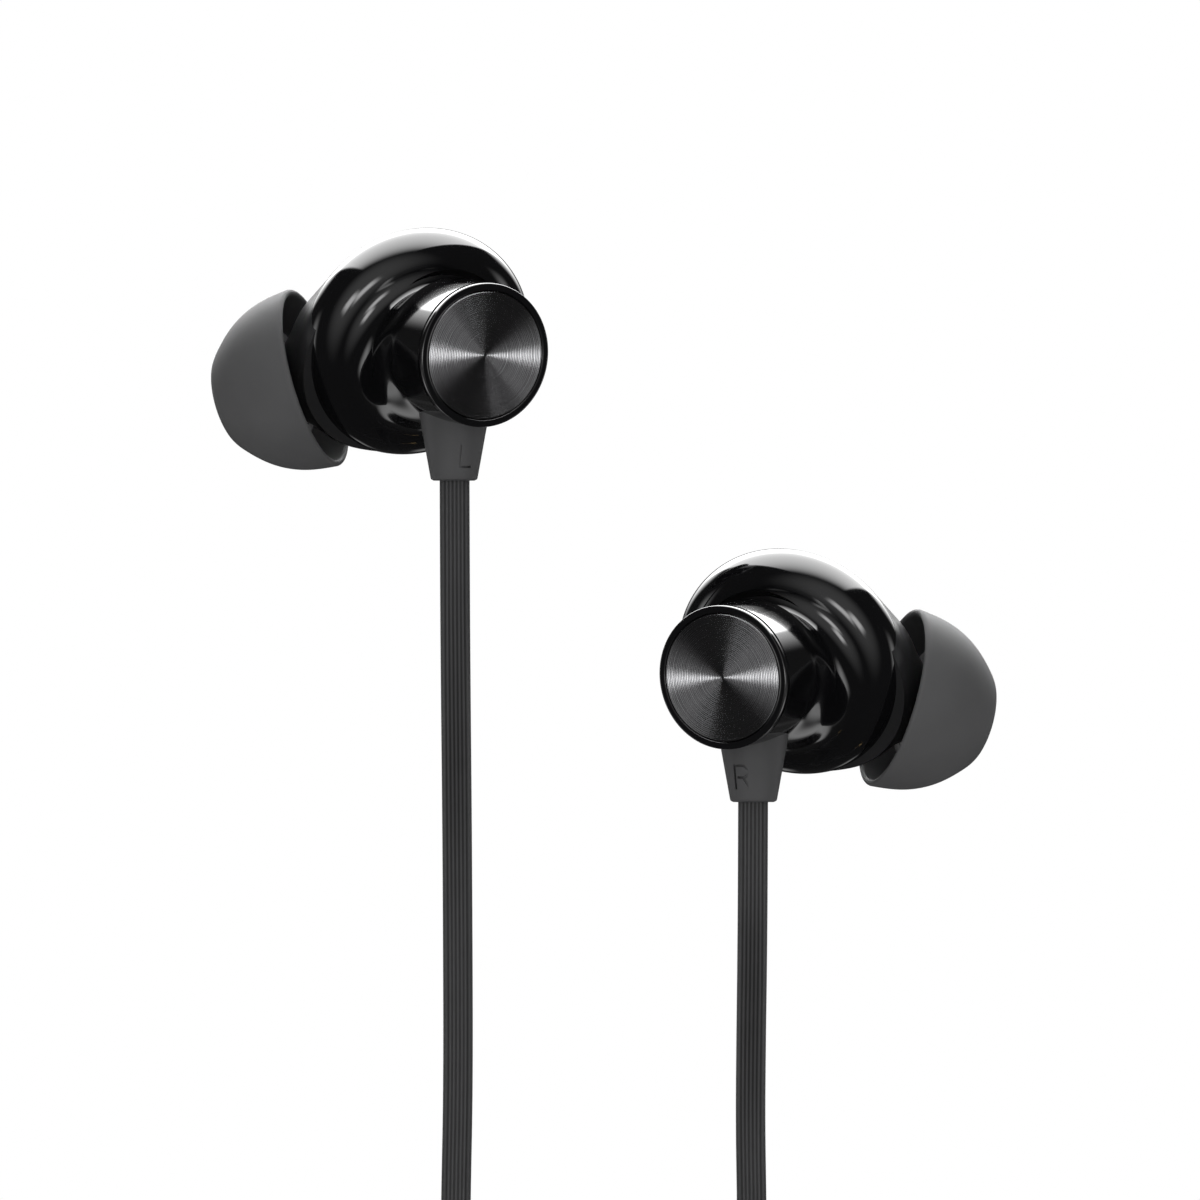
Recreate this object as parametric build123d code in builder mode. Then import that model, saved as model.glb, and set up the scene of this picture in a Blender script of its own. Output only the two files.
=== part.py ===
from build123d import *
from math import cos, pi, radians, sin, tan
import os

# Wired in-ear earphones, laid out on a table: two buds with silicone tips, flat ribbed leads,
# a splitter, an in-line remote and a 3.5 mm four-pole plug. The spare lead is wound up as for
# storage. Millimetres. +Z is up from the table, +Y is from the leads to the buds, and the left
# bud is on the -X side. The two buds are mirror images across the YZ plane, one lower than the
# other. The origin is on the table, under the middle of the two buds.
os.makedirs("parts", exist_ok=True)

# ---- driving dimensions: the bud, measured from its faceplate's centre -----------------------
face_spread = 7.98  # faceplate centre to the mirror plane
bud_drop = 21.8  # how much lower the right bud lies
face_tilt, face_heading = 30.0, -12.5  # faceplate normal: degrees from +Z, and its heading
body_tilt, body_heading = 32.0, -47.0  # normal of the round body
tip_tilt, tip_heading = 104.65, 195.75  # direction of the nozzle and ear tip

barrel_radius = 4.9
barrel_wall = 0.8
body_depth = 9.85  # from the faceplate back to the middle of the round body, along the barrel
body_wall = 0.9
parting_height = 0.93  # the joint between the two shells, in front of the body's middle
parting_radius = 7.94
cap_thickness = 1.5
cap_flange = 0.6
faceplate_rim = 0.5  # width of the end cap's ring round the faceplate
faceplate_radius = barrel_radius - faceplate_rim
faceplate_thickness = 0.5
pocket_radius = barrel_radius - 0.05  # crescent pocket beside the barrel
pocket_shift = 0.6
pocket_heading = 64.0
pocket_floor = 2.95  # the pocket's floor, in front of the body's middle

# Rings of the front shell behind the straight barrel: distance in front of the body's middle,
# how far the radius has grown from the barrel's (0) to the parting's (1), and how far the ring
# has turned from the barrel's axis (0) to the body's axis (1).
front_rings = [(5.95, 0.0, 0.0), (3.95, 0.01, 0.4), (2.85, 0.15, 0.8),
               (2.15, 0.46, 1.0), (1.75, 0.76, 1.0), (parting_height, 1.0, 1.0)]
# Rings of the rear shell: distance behind the body's middle, further distance along sink, and
# radius beside the parting's.
sink = Vector(-0.25, 0, -0.968)
rear_rings = [(0.0, 0.0, 1.026), (1.2, 0.0, 0.982), (1.9, 1.3, 0.875), (2.4, 2.5, 0.718),
              (2.8, 3.55, 0.428)]

nozzle_reach = Vector(-7.045, -2.475, -1.37)  # from the body's middle to the middle of the tip's rim
# Outline of the shoulder that the nozzle stands on: radius, and distance along the nozzle.
shoulder = [(5.9, -4.0), (5.35, -2.0), (4.7, -0.8), (3.9, 0.0), (3.0, 0.9)]
nozzle_radius = 2.6
nozzle_lip_radius = nozzle_radius + 0.25
nozzle_lip_length = 0.8
nozzle_length = 5.2
nozzle_bore = 2.0
mesh_radius = 2.3
mesh_thickness = 0.2
mesh_inset = 0.25

# Outside of the ear tip from its rim to its opening: radius, and distance along the nozzle.
tip_outline = [(6.25, 0.0), (5.97, 1.95), (5.1, 4.0), (3.75, 5.6), (2.1, 6.55)]
tip_wall = 0.5
lining_share = 0.93  # the lining's heights, as a share of the outside's
lining_top = 4.3  # where the lining meets the sleeve
tip_sleeve_wall = 0.9
tip_sleeve_start = 1.5
tip_bore_gap = 0.08  # the sleeve clears the nozzle's lip by this much all round

driver_radius = 5.0
driver_depth = 3.4
driver_wall = 0.35
magnet_radius = 2.9
magnet_height = 0.9
coil_gap = 0.12
diaphragm_swing = 0.2
seat_width = 1.2

relief_back = 4.4  # strain relief's axis, behind the faceplate along the barrel
relief_length = 3.55  # beyond the barrel
relief_bottom = -barrel_radius - relief_length
relief_top_size = (2.37, 2.1)  # half width and half depth where it meets the barrel
relief_neck = 1.25
relief_end_wall = 0.5
fit_gap = 0.05  # pieces that slip into holes and recesses
mark_depth = 0.14
mark_stroke = 0.17
mark_radius = 1.59  # the relief's surface from its axis, at the mark's middle
mark_slope = 0.19  # how fast the surface draws in there, towards the lead

# ---- driving dimensions: leads, splitter, remote and plug ------------------------------------
leg_width, leg_thickness = 2.03, 1.3
main_width, main_thickness = 2.6, 1.6
hole_depth = 1.5  # how far a lead reaches into the splitter, the remote and the boot
tuck = 0.15  # a lead joins its coil this far inside the outermost turn's middle
splitter_width, splitter_neck, splitter_length, splitter_height = 7.6, 4.8, 9.0, 4.6
leg_spacing = leg_width + 0.67
remote_length, remote_width, remote_height = 24.0, 6.8, 4.6
remote_wall = 0.8
remote_corner = 2.6
button_length, button_width = 4.4, 2.8
button_pitch = 5.6
button_gap = 0.12
button_proud = 0.35
button_travel = 0.3
button_flange = 0.4
board_thickness = 0.6
plug_radius = 3.2
plug_body_length = 14.0
boot_length = 8.0
shaft_radius = 1.75
shaft_root_radius = shaft_radius - 0.2  # the part of the sleeve that is moulded into the grip
shaft_length = 14.0
contact_length = 2.2
band_length = 0.6  # insulating bands between the plug's contacts
core_radius = 0.6


# ---- frames ----------------------------------------------------------------------------------
def direction(tilt, heading):
    """Unit vector at an angle from +Z, towards a heading measured from +X."""
    across = sin(radians(tilt))
    return Vector(across * cos(radians(heading)), across * sin(radians(heading)), cos(radians(tilt)))


def profile_plane(base):
    """The plane through base's Z that a turned outline is drawn on: its X is the radius."""
    return Plane(origin=base.origin, x_dir=base.x_dir, z_dir=-base.y_dir)


face_normal = direction(face_tilt, face_heading)
body_normal = direction(body_tilt, body_heading)
tip_normal = direction(tip_tilt, tip_heading)
hinge_line = face_normal.cross(body_normal).normalized()
body_centre = face_normal * -body_depth
face = Plane(origin=(0, 0, 0), x_dir=hinge_line, z_dir=face_normal)
body = Plane(origin=body_centre, x_dir=hinge_line, z_dir=body_normal)
nozzle = Plane(origin=body_centre + nozzle_reach, x_dir=tip_normal.cross(Vector(0, 0, 1)), z_dir=tip_normal)


def ring_plane(height, turned_share):
    """Plane of a front ring, turned from the barrel's axis, 0, to the body's axis, 1."""
    normal = (face_normal * (1 - turned_share) + body_normal * turned_share).normalized()
    return Plane(origin=body_centre + normal * height, x_dir=hinge_line, z_dir=normal)


def rear_plane(back, sunk):
    """Plane of a rear ring, behind the body's middle and then along sink."""
    return Plane(origin=body_centre - body_normal * back + sink * sunk, x_dir=hinge_line, z_dir=body_normal)


def turned(base, *outline):
    """A solid turned about base's Z from a closed outline of (radius, height) corners."""
    with BuildPart() as piece:
        with BuildSketch(profile_plane(base)):
            with BuildLine():
                Polyline(*outline, close=True)
            make_face()
        revolve(axis=Axis(base.origin, base.z_dir))
    return piece.part


def washer(base, inner, outer, low, high):
    """A turned ring of rectangular section, solid where inner is 0."""
    return turned(base, (inner, low), (outer, low), (outer, high), (inner, high))


bud = {}  # name to finished piece, in the bud's own frame

# ---- front shell: glossy moulding with the barrel and the front of the round body -------------
barrel_top = -cap_flange
with BuildPart() as front_housing:
    with BuildSketch(face.offset(barrel_top)):
        Circle(barrel_radius)
    extrude(amount=-(body_depth - front_rings[0][0] + barrel_top))
    for height, grown, turned_share in front_rings:
        with BuildSketch(ring_plane(height, turned_share)):
            Circle(barrel_radius + grown * (parting_radius - barrel_radius))
    loft()
    # barrel bore, and the chamber in front of the driver
    with BuildSketch(face.offset(-body_depth)):
        Circle(barrel_radius - barrel_wall)
    extrude(amount=body_depth, mode=Mode.SUBTRACT)
    with BuildSketch(body.offset(parting_height - 1)):
        Circle(parting_radius - 2 * body_wall)
    extrude(amount=1.1, mode=Mode.SUBTRACT)
    # crescent pocket beside the barrel
    with BuildSketch(face.offset(pocket_floor - body_depth)):
        with Locations((pocket_shift * cos(radians(pocket_heading)),
                        pocket_shift * sin(radians(pocket_heading)))):
            Circle(pocket_radius)
        Circle(barrel_radius, mode=Mode.SUBTRACT)
    extrude(amount=body_depth - pocket_floor, mode=Mode.SUBTRACT)
    # hole for the strain relief's neck
    relief_x, relief_z = (face_normal * -relief_back).X, (face_normal * -relief_back).Z
    relief_plane = Plane(origin=(relief_x, 0, relief_z), x_dir=(1, 0, 0), z_dir=(0, -1, 0))
    with BuildSketch(relief_plane):
        Circle(relief_neck + fit_gap)
    extrude(amount=-relief_bottom, mode=Mode.SUBTRACT)
bud["front_housing"] = front_housing.part

# ---- rear shell: satin moulding from the widest ring to the nozzle -----------------------------
with BuildPart() as rear_housing:
    with BuildSketch(body.offset(parting_height)):
        Circle(parting_radius)
    for back, sunk, grown in rear_rings:
        with BuildSketch(rear_plane(back, sunk)):
            Circle(grown * parting_radius)
    loft()
    with BuildSketch(profile_plane(nozzle)):
        with BuildLine():
            neck = [(nozzle_radius, shoulder[-1][1] + 0.4),
                    (nozzle_radius, nozzle_length - nozzle_lip_length),
                    (nozzle_lip_radius, nozzle_length - nozzle_lip_length + 0.25),
                    (nozzle_lip_radius, nozzle_length), (0, nozzle_length), (0, shoulder[0][1])]
            Polyline(*shoulder, *neck, close=True)
        make_face()
    revolve(axis=Axis(nozzle.origin, nozzle.z_dir))
    split(bisect_by=body.offset(parting_height), keep=Keep.BOTTOM)
    # chamber behind the driver, in steps that follow the shell, with the driver's seat left in
    driver_back = parting_height - driver_depth
    with BuildSketch(body.offset(driver_back)):
        Circle(driver_radius + fit_gap)
    extrude(amount=driver_depth, mode=Mode.SUBTRACT)
    with BuildSketch(body.offset(driver_back + seat_width)):
        Circle(parting_radius - 2 * body_wall + 0.2)
    extrude(amount=driver_depth, mode=Mode.SUBTRACT)
    back, sunk, grown = rear_rings[-2]
    with BuildSketch(rear_plane(back, sunk - body_wall)):
        Circle(driver_radius - 2 * body_wall)
    extrude(amount=2 * body_depth / 3, mode=Mode.SUBTRACT)
    # sound bore with a seat for the mesh
    with BuildSketch(nozzle.offset(nozzle_length)):
        Circle(nozzle_bore)
    extrude(amount=-nozzle_length - 4.0, mode=Mode.SUBTRACT)
    with BuildSketch(nozzle.offset(nozzle_length)):
        Circle(mesh_radius + fit_gap)
    extrude(amount=-mesh_inset - mesh_thickness, mode=Mode.SUBTRACT)
bud["rear_housing"] = rear_housing.part

# ---- end cap with its ring, and the spun aluminium faceplate let into it -----------------------
bud["end_cap"] = turned(face, (0, -cap_thickness), (barrel_radius - barrel_wall, -cap_thickness),
                        (barrel_radius - barrel_wall, barrel_top), (barrel_radius, barrel_top),
                        (barrel_radius, -0.12), (barrel_radius - 0.12, 0), (faceplate_radius + fit_gap, 0),
                        (faceplate_radius + fit_gap, -faceplate_thickness), (0, -faceplate_thickness))
bud["faceplate"] = turned(face, (0, -faceplate_thickness), (faceplate_radius, -faceplate_thickness),
                          (faceplate_radius, -0.15), (faceplate_radius - 0.15, -0.03), (0, -0.03))

# ---- nozzle mesh and ear tip ------------------------------------------------------------------
mesh_top = nozzle_length - mesh_inset
bud["nozzle_mesh"] = washer(nozzle, 0, mesh_radius, mesh_top - mesh_thickness, mesh_top)

tip_bore = nozzle_lip_radius + tip_bore_gap
sleeve_radius = tip_bore + tip_sleeve_wall
bore_end = nozzle_length + 0.3
with BuildPart() as ear_tip:
    with BuildSketch(profile_plane(nozzle)):
        with BuildLine():
            dome = Spline(*tip_outline, tangents=((0, 1), (-1, 0.3)))
            inside = [(radius - tip_wall, height * lining_share) for radius, height in tip_outline[:-2]]
            lining = Spline(*inside, (sleeve_radius, lining_top), tangents=((0, 1), (-1, 0.8)))
            Line(lining @ 0, dome @ 0)
            Polyline(dome @ 1, (tip_outline[-1][0], bore_end), (tip_bore, bore_end),
                     (tip_bore, tip_sleeve_start), (sleeve_radius, tip_sleeve_start), lining @ 1)
        make_face()
    revolve(axis=Axis(nozzle.origin, nozzle.z_dir))
bud["ear_tip"] = ear_tip.part

# ---- driver: basket, yoke, magnet, pole plate, voice coil, diaphragm, grille and terminal board --
basket_top = driver_back + driver_depth - 0.3
yoke_outer = magnet_radius + 0.75
bud["driver_basket"] = turned(body, (driver_radius - driver_wall, driver_back + 0.3),
                              (driver_radius, driver_back + 0.3), (driver_radius, basket_top),
                              (yoke_outer, basket_top), (yoke_outer, basket_top - driver_wall),
                              (driver_radius - driver_wall, basket_top - driver_wall))
bud["driver_yoke"] = turned(body, (0, basket_top), (yoke_outer, basket_top), (yoke_outer, basket_top + 0.35),
                            (0, basket_top + 0.35))
magnet_low = basket_top - magnet_height
bud["driver_magnet"] = washer(body, 0, magnet_radius - 0.5, magnet_low, basket_top)
bud["pole_plate"] = washer(body, 0, magnet_radius - 0.4, magnet_low - 0.3, magnet_low)
coil_inner = magnet_radius - 0.4 + coil_gap
coil_low = magnet_low - 0.3 - diaphragm_swing - 0.1
bud["voice_coil"] = washer(body, coil_inner, coil_inner + 0.15, coil_low, basket_top - diaphragm_swing - 0.15)
film = 0.06
diaphragm_edge = driver_radius - driver_wall - coil_gap
bud["diaphragm"] = turned(body, (0, coil_low - 0.5), (1.6, coil_low - 0.35),
                          (coil_inner + 0.15, coil_low - film), (diaphragm_edge, coil_low - film),
                          (diaphragm_edge, coil_low), (coil_inner + 0.1, coil_low),
                          (1.6, coil_low - 0.35 + film), (0, coil_low - 0.5 + film))
bud["driver_grille"] = turned(body, (0, driver_back), (driver_radius, driver_back),
                              (driver_radius, driver_back + 0.3), (0.5, driver_back + 0.3),
                              (0.5, driver_back + 0.2), (0, driver_back + 0.2))
with BuildPart() as driver_board:
    with BuildSketch(body.offset(basket_top + 0.35)):
        Circle(2.6)
        with PolarLocations(1.5, 2):
            Circle(0.35, mode=Mode.SUBTRACT)
    extrude(amount=0.3)
bud["driver_board"] = driver_board.part

# ---- strain relief: soft tapered sleeve, flattened like the lead, plugged into the barrel -------
with BuildPart() as strain_relief:
    with BuildSketch(relief_plane.offset(barrel_radius / 2)):
        Ellipse(relief_top_size[0] + 0.25, relief_top_size[1] + 0.25)
    with BuildSketch(relief_plane.offset(-relief_bottom)):
        Ellipse(leg_width / 2 + fit_gap + relief_end_wall, leg_thickness / 2 + fit_gap + relief_end_wall)
    loft()
    with BuildSketch(face):
        Circle(barrel_radius)
    extrude(amount=-body_depth, mode=Mode.SUBTRACT)
    add(front_housing.part, mode=Mode.SUBTRACT)
    with BuildSketch(relief_plane.offset(barrel_radius - barrel_wall - 1)):
        Circle(relief_neck)
    extrude(amount=2.0)
    with BuildSketch(relief_plane.offset(-relief_bottom)):
        SlotOverall(leg_width + 2 * fit_gap, leg_thickness + 2 * fit_gap)
    extrude(amount=-hole_depth, mode=Mode.SUBTRACT)
bud["strain_relief"] = strain_relief.part

# ---- side marks: a plain L and R sunk into the reliefs -----------------------------------------
marks = {
    "left": [[(-0.4, 0.75), (-0.4, -0.75), (0.4, -0.75)]],
    "right": [[(-0.45, -0.8), (-0.45, 0.8), (0.2, 0.8), (0.5, 0.5), (0.5, 0.25), (0.2, 0), (-0.3, 0)],
              [(0.1, 0), (0.5, -0.8)]],
}


mark_outward = Vector(face_normal.X, 0, face_normal.Z).normalized()
mark_middle = Vector(relief_x, (relief_bottom - barrel_radius) / 2 - 0.1, relief_z)
mark_plane = Plane(origin=mark_middle + mark_outward * (mark_radius - mark_depth),
                   x_dir=Vector(0, 1, 0).cross(mark_outward), z_dir=mark_outward - Vector(0, mark_slope, 0))


def marked(side):
    """The relief with a side's mark cut into its front. The right's is drawn backwards, because
    the whole bud is mirrored afterwards."""
    hand = 1 if side == "left" else -1
    with BuildPart() as piece:
        add(strain_relief.part)
        with BuildSketch(mark_plane):
            for stroke in marks[side]:
                with BuildLine():
                    Polyline(*[(hand * x, y) for x, y in stroke])
                trace(line_width=mark_stroke)
        extrude(amount=1, mode=Mode.SUBTRACT)
    return piece.part


# ---- both buds, placed on the table -------------------------------------------------------------
boxes = [piece.bounding_box() for piece in bud.values()]
face_height = -min(box.min.Z for box in boxes)
left_face_y = (bud_drop - max(box.max.Y for box in boxes) - min(box.min.Y for box in boxes)) / 2
parts = {}
bud_places = {
    "left": Pos(-face_spread, left_face_y, face_height),
    "right": Pos(face_spread, left_face_y - bud_drop, face_height),
}
for side, place in bud_places.items():
    for name, piece in bud.items():
        if name == "strain_relief":
            piece = marked(side)
        handed = piece if side == "left" else mirror(piece, about=Plane.YZ)
        parts[f"{side}_{name}"] = place * handed


# ---- leads: straight runs joined by tangent arcs --------------------------------------------------
def corner_radii(points):
    """One radius for each corner: 0.45 of its shorter run over the tangent of half its turn."""
    runs = [Vector(*b) - Vector(*a) for a, b in zip(points, points[1:])]
    return [0.45 * min(a.length, b.length) / tan(radians(a.get_angle(b) / 2)) for a, b in zip(runs, runs[1:])]


def lead(name, points, width, thickness, cut_by=()):
    """A flat lead along points, its ends cut back by the coils it runs into."""
    radii = corner_radii(points)
    with BuildPart() as piece:
        with BuildLine() as route:
            FilletPolyline(*points, radius=radii)
        path_length = route.wire().length
        start = route.line % 0
        with BuildSketch(Plane(origin=route.line @ 0, x_dir=start.cross(Vector(0, 0, 1)), z_dir=start)):
            SlotOverall(width, thickness)
        sweep()
        ratio = piece.part.volume / (slot_area(width, thickness) * path_length)
        for coil_place, outer, height in cut_by:
            with Locations(coil_place):
                Cylinder(outer, 2 * height, align=(Align.CENTER, Align.CENTER, Align.MIN), mode=Mode.SUBTRACT)
    print(f"{name}: {path_length:.1f} mm, volume ratio {ratio:.4f}, radii",
          [round(radius, 1) for radius in radii])
    parts[name] = piece.part


def point(start, line, distance, height):
    """The point at a distance from start along a level line, at a height."""
    return (start.X + line.X * distance, start.Y + line.Y * distance, height)


def slot_area(width, thickness):
    return (width - thickness) * thickness + pi * thickness**2 / 4


def coil(name, centre, inner, outer, height):
    """The outer shape of a wound coil lying on the table."""
    parts[name] = washer(Plane(origin=centre), inner, outer, 0, height)


leg_floor = leg_thickness / 2
leg_top_layer = 1.5 * leg_thickness + 0.1
leg_coil_height = 2 * leg_thickness + 0.15
leg_coils = {  # centre, middle radius of the outermost turn and of the innermost, entry angle
    "left": ((-13.9, -65.5), 11.8, 7.7, 30.0),
    "right": ((13.3, -65.5), 12.45, 8.35, 36.0),
}
leg_falls = {  # distance from the relief along the lead, and height, down to the table
    "left": [(6.0, 12.4), (13.5, 9.8), (21.5, 3.6), (29.0, leg_floor), (41.0, leg_floor)],
    "right": [(5.0, 12.4), (10.6, 10.1), (16.6, 3.6), (22.1, leg_floor)],
}
splitter_x, splitter_y = -0.6, -82.0
lead_height = splitter_height / 2
for side, ((centre_x, centre_y), outermost, innermost, entry_angle) in leg_coils.items():
    hand = -1 if side == "left" else 1
    exit_x = hand * (face_spread - relief_x)
    exit_y = bud_places[side].position.Y + relief_bottom
    exit_z = face_height + relief_z
    coil_solid = ((centre_x, centre_y), outermost + leg_width / 2, leg_coil_height)
    coil(f"{side}_leg_coil", (centre_x, centre_y), innermost - leg_width / 2, *coil_solid[1:])
    entry_x = centre_x - hand * (outermost - tuck) * cos(radians(entry_angle))
    entry_y = centre_y + (outermost - tuck) * sin(radians(entry_angle))
    bend_y = entry_y + (exit_x - entry_x) * hand / tan(radians(entry_angle))
    fall = [(exit_x - hand * along / 250, exit_y - along, height) for along, height in leg_falls[side]]
    lead(f"{side}_leg_start", [(exit_x, exit_y + hole_depth, exit_z), *fall,
                               (exit_x, bend_y, leg_floor), (entry_x, entry_y, leg_floor)],
         leg_width, leg_thickness, [coil_solid])
    leave_x = centre_x - hand * (outermost - tuck)
    inlet_x = splitter_x + hand * leg_spacing / 2
    lead(f"{side}_leg_end", [
        (leave_x, centre_y, leg_top_layer), (leave_x, centre_y - 5, leg_top_layer),
        (inlet_x, centre_y - 11, lead_height), (inlet_x, splitter_y - hole_depth, lead_height),
    ], leg_width, leg_thickness, [coil_solid])

# ---- splitter: two shell halves clamped round the leads ---------------------------------------
splitter_end_y = splitter_y - splitter_length
for name, low, high in (("splitter_back", 0, lead_height), ("splitter_front", lead_height, splitter_height)):
    with BuildPart() as half:
        with BuildSketch(Plane.XY.offset(low)):
            with BuildLine():
                Polyline((splitter_x - splitter_width / 2, splitter_y),
                         (splitter_x + splitter_width / 2, splitter_y),
                         (splitter_x + splitter_neck / 2, splitter_end_y),
                         (splitter_x - splitter_neck / 2, splitter_end_y), close=True)
            make_face()
        extrude(amount=high - low)
        fillet(half.edges().filter_by(Axis.Z), 1.2)
        fillet(half.faces().sort_by(Axis.Z)[0 if low == 0 else -1].edges(), 0.8)
        for x in (splitter_x - leg_spacing / 2, splitter_x + leg_spacing / 2):
            with BuildSketch(Plane(origin=(x, splitter_y, lead_height), x_dir=(1, 0, 0), z_dir=(0, -1, 0))):
                SlotOverall(leg_width + 2 * fit_gap, leg_thickness + 2 * fit_gap)
            extrude(amount=hole_depth, mode=Mode.SUBTRACT)
        with BuildSketch(Plane(origin=(splitter_x, splitter_end_y, lead_height), x_dir=(1, 0, 0),
                               z_dir=(0, 1, 0))):
            SlotOverall(main_width + 2 * fit_gap, main_thickness + 2 * fit_gap)
        extrude(amount=hole_depth, mode=Mode.SUBTRACT)
    parts[name] = half.part

# ---- remote: two shells, board with switches, microphone and three buttons ----------------------
remote_turn = 20.0  # degrees that the remote lies turned from the splitter's line
along = Vector(-sin(radians(remote_turn)), -cos(radians(remote_turn)), 0)
remote_start = Vector(-1.8, -98.3, 0)
remote_end = remote_start + along * remote_length
remote_middle = (remote_start + remote_end) / 2
remote = Plane(origin=remote_middle, x_dir=along, z_dir=(0, 0, 1))
remote_axis = remote_height / 2
board_top = remote_axis + board_thickness / 2
ceiling = remote_height - remote_wall
flange_low = ceiling - button_flange - fit_gap
switch_top = flange_low - button_travel - fit_gap
button_xs = [-button_pitch, 0.0, button_pitch]
cavity_length = remote_length - 4 * remote_wall
cavity_width = remote_width - 2 * remote_wall
for name, low, high in (("remote_back", 0, remote_axis), ("remote_front", remote_axis, remote_height)):
    with BuildPart() as half:
        with BuildSketch(remote.offset(low)):
            RectangleRounded(remote_length, remote_width, remote_corner)
        extrude(amount=high - low)
        fillet(half.faces().sort_by(Axis.Z)[0 if low == 0 else -1].edges(), 1.0)
        with BuildSketch(remote.offset(max(low, remote_wall))):
            RectangleRounded(cavity_length, cavity_width, remote_corner - remote_wall)
        extrude(amount=min(high, ceiling) - max(low, remote_wall), mode=Mode.SUBTRACT)
        for end, inward in ((remote_start, along), (remote_end, -along)):
            with BuildSketch(Plane(origin=end + Vector(0, 0, remote_axis), x_dir=along.cross(Vector(0, 0, 1)),
                                   z_dir=inward)):
                SlotOverall(main_width + 2 * fit_gap, main_thickness + 2 * fit_gap)
            extrude(amount=2 * remote_wall, mode=Mode.SUBTRACT)
        if name == "remote_front":
            with BuildSketch(remote.offset(ceiling)):
                for x in button_xs:
                    with Locations((x, 0)):
                        RectangleRounded(button_length + 2 * button_gap, button_width + 2 * button_gap, 1.0)
                with Locations((-remote_length / 2 + 2.6, 0)):
                    Circle(0.35)
            extrude(amount=remote_wall, mode=Mode.SUBTRACT)
    parts[name] = half.part

for name, x in zip(("button_up", "button_play", "button_down"), button_xs):
    with BuildPart() as button:
        with BuildSketch(remote.offset(flange_low)):
            with Locations((x, 0)):
                RectangleRounded(button_length + 0.7, button_width + 1.0, 0.6)
        extrude(amount=button_flange)
        with BuildSketch(remote.offset(flange_low)):
            with Locations((x, 0)):
                RectangleRounded(button_length, button_width, 0.9)
        extrude(amount=remote_height + button_proud - flange_low)
        fillet(button.faces().sort_by(Axis.Z)[-1].edges(), 0.3)
    parts[name] = button.part

with BuildPart() as remote_board:
    with BuildSketch(remote.offset(remote_axis - board_thickness / 2)):
        RectangleRounded(cavity_length - 2 * fit_gap, cavity_width - 2 * fit_gap, remote_corner - remote_wall)
    extrude(amount=board_thickness)
parts["remote_board"] = remote_board.part
with BuildPart() as remote_switches:
    for x in button_xs:
        with BuildSketch(remote.offset(board_top)):
            with Locations((x, 0)):
                Rectangle(2.6, 2.2)
        extrude(amount=switch_top - board_top - 0.15)
        with BuildSketch(remote.offset(switch_top - 0.15)):
            with Locations((x, 0)):
                Circle(0.8)
        extrude(amount=0.15)
parts["remote_switches"] = remote_switches.part
with BuildPart() as microphone:
    with BuildSketch(remote.offset(board_top)):
        with Locations((-cavity_length / 2 + 1.0, 0)):
            RectangleRounded(1.5, 2.2, 0.3)
    extrude(amount=0.8)
parts["microphone"] = microphone.part

# ---- main lead: from the splitter to the remote, then wound up, then out to the plug ------------
main_layer = main_thickness + 0.05
main_floor = main_thickness / 2
main_outermost, main_innermost, main_layers = 16.2, 10.5, 4
main_entry_angle = 180 - remote_turn
main_entry = remote_end + along * 14.0
main_reach = main_outermost - tuck
main_coil_centre = Vector(main_entry.X - main_reach * cos(radians(main_entry_angle)),
                          main_entry.Y - main_reach * sin(radians(main_entry_angle)))
main_coil_solid = ((main_coil_centre.X, main_coil_centre.Y), main_outermost + main_width / 2,
                   main_layers * main_layer)
coil("main_coil", main_coil_solid[0], main_innermost - main_width / 2, *main_coil_solid[1:])
lead("main_lead_start", [
    (splitter_x, splitter_end_y + hole_depth, lead_height), (splitter_x, splitter_end_y - 4, remote_axis),
    point(remote_start, along, hole_depth, remote_axis),
], main_width, main_thickness)
lead("main_lead_middle", [
    point(remote_end, along, -hole_depth, remote_axis), point(remote_end, along, 2.5, remote_axis),
    point(remote_end, along, 8.5, main_floor), point(remote_end, along, 14.0, main_floor),
], main_width, main_thickness, [main_coil_solid])

leave_angle = -25.0
plug_line = Vector(-sin(radians(leave_angle)), cos(radians(leave_angle)), 0)
leave = main_coil_centre + Vector(cos(radians(leave_angle)), sin(radians(leave_angle))) * main_reach
plug_start = leave + plug_line * 15 + Vector(0, 0, plug_radius)
top_layer = (main_layers - 0.5) * main_layer
lead("main_lead_end", [
    point(leave, plug_line, 0, top_layer), point(leave, plug_line, 5, top_layer),
    point(leave, plug_line, 11, plug_radius), point(leave, plug_line, 15 + hole_depth, plug_radius),
], main_width, main_thickness, [main_coil_solid])

# ---- plug: boot, grip, and the contacts stacked on their insulator --------------------------------
plug = Plane(origin=plug_start, x_dir=(0, 0, 1), z_dir=plug_line)
lead_hole = main_width / 2 + fit_gap
grip_start = boot_length
grip_end = grip_start + plug_body_length
parts["plug_boot"] = turned(plug, (lead_hole, 0), (lead_hole + 0.6, 0), (plug_radius - 0.9, grip_start - 1),
                            (plug_radius - 0.9, grip_start + 2), (0, grip_start + 2), (0, hole_depth + 0.5),
                            (lead_hole, hole_depth + 0.5))
parts["plug_grip"] = turned(plug, (plug_radius - 0.9, grip_start), (plug_radius - 0.25, grip_start),
                            (plug_radius, grip_start + 0.25), (plug_radius, grip_end - 0.6),
                            (plug_radius - 0.6, grip_end), (shaft_root_radius, grip_end),
                            (shaft_root_radius, grip_end - 2), (0, grip_end - 2), (0, grip_start + 2),
                            (plug_radius - 0.9, grip_start + 2))
shaft_tip = grip_end + shaft_length
tip_start = shaft_tip - 3.2
front_ring = (tip_start - band_length - contact_length, tip_start - band_length)
rear_ring = (front_ring[0] - band_length - contact_length, front_ring[0] - band_length)
sleeve_end = rear_ring[0] - band_length
liner_radius = shaft_radius - 0.45
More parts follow.
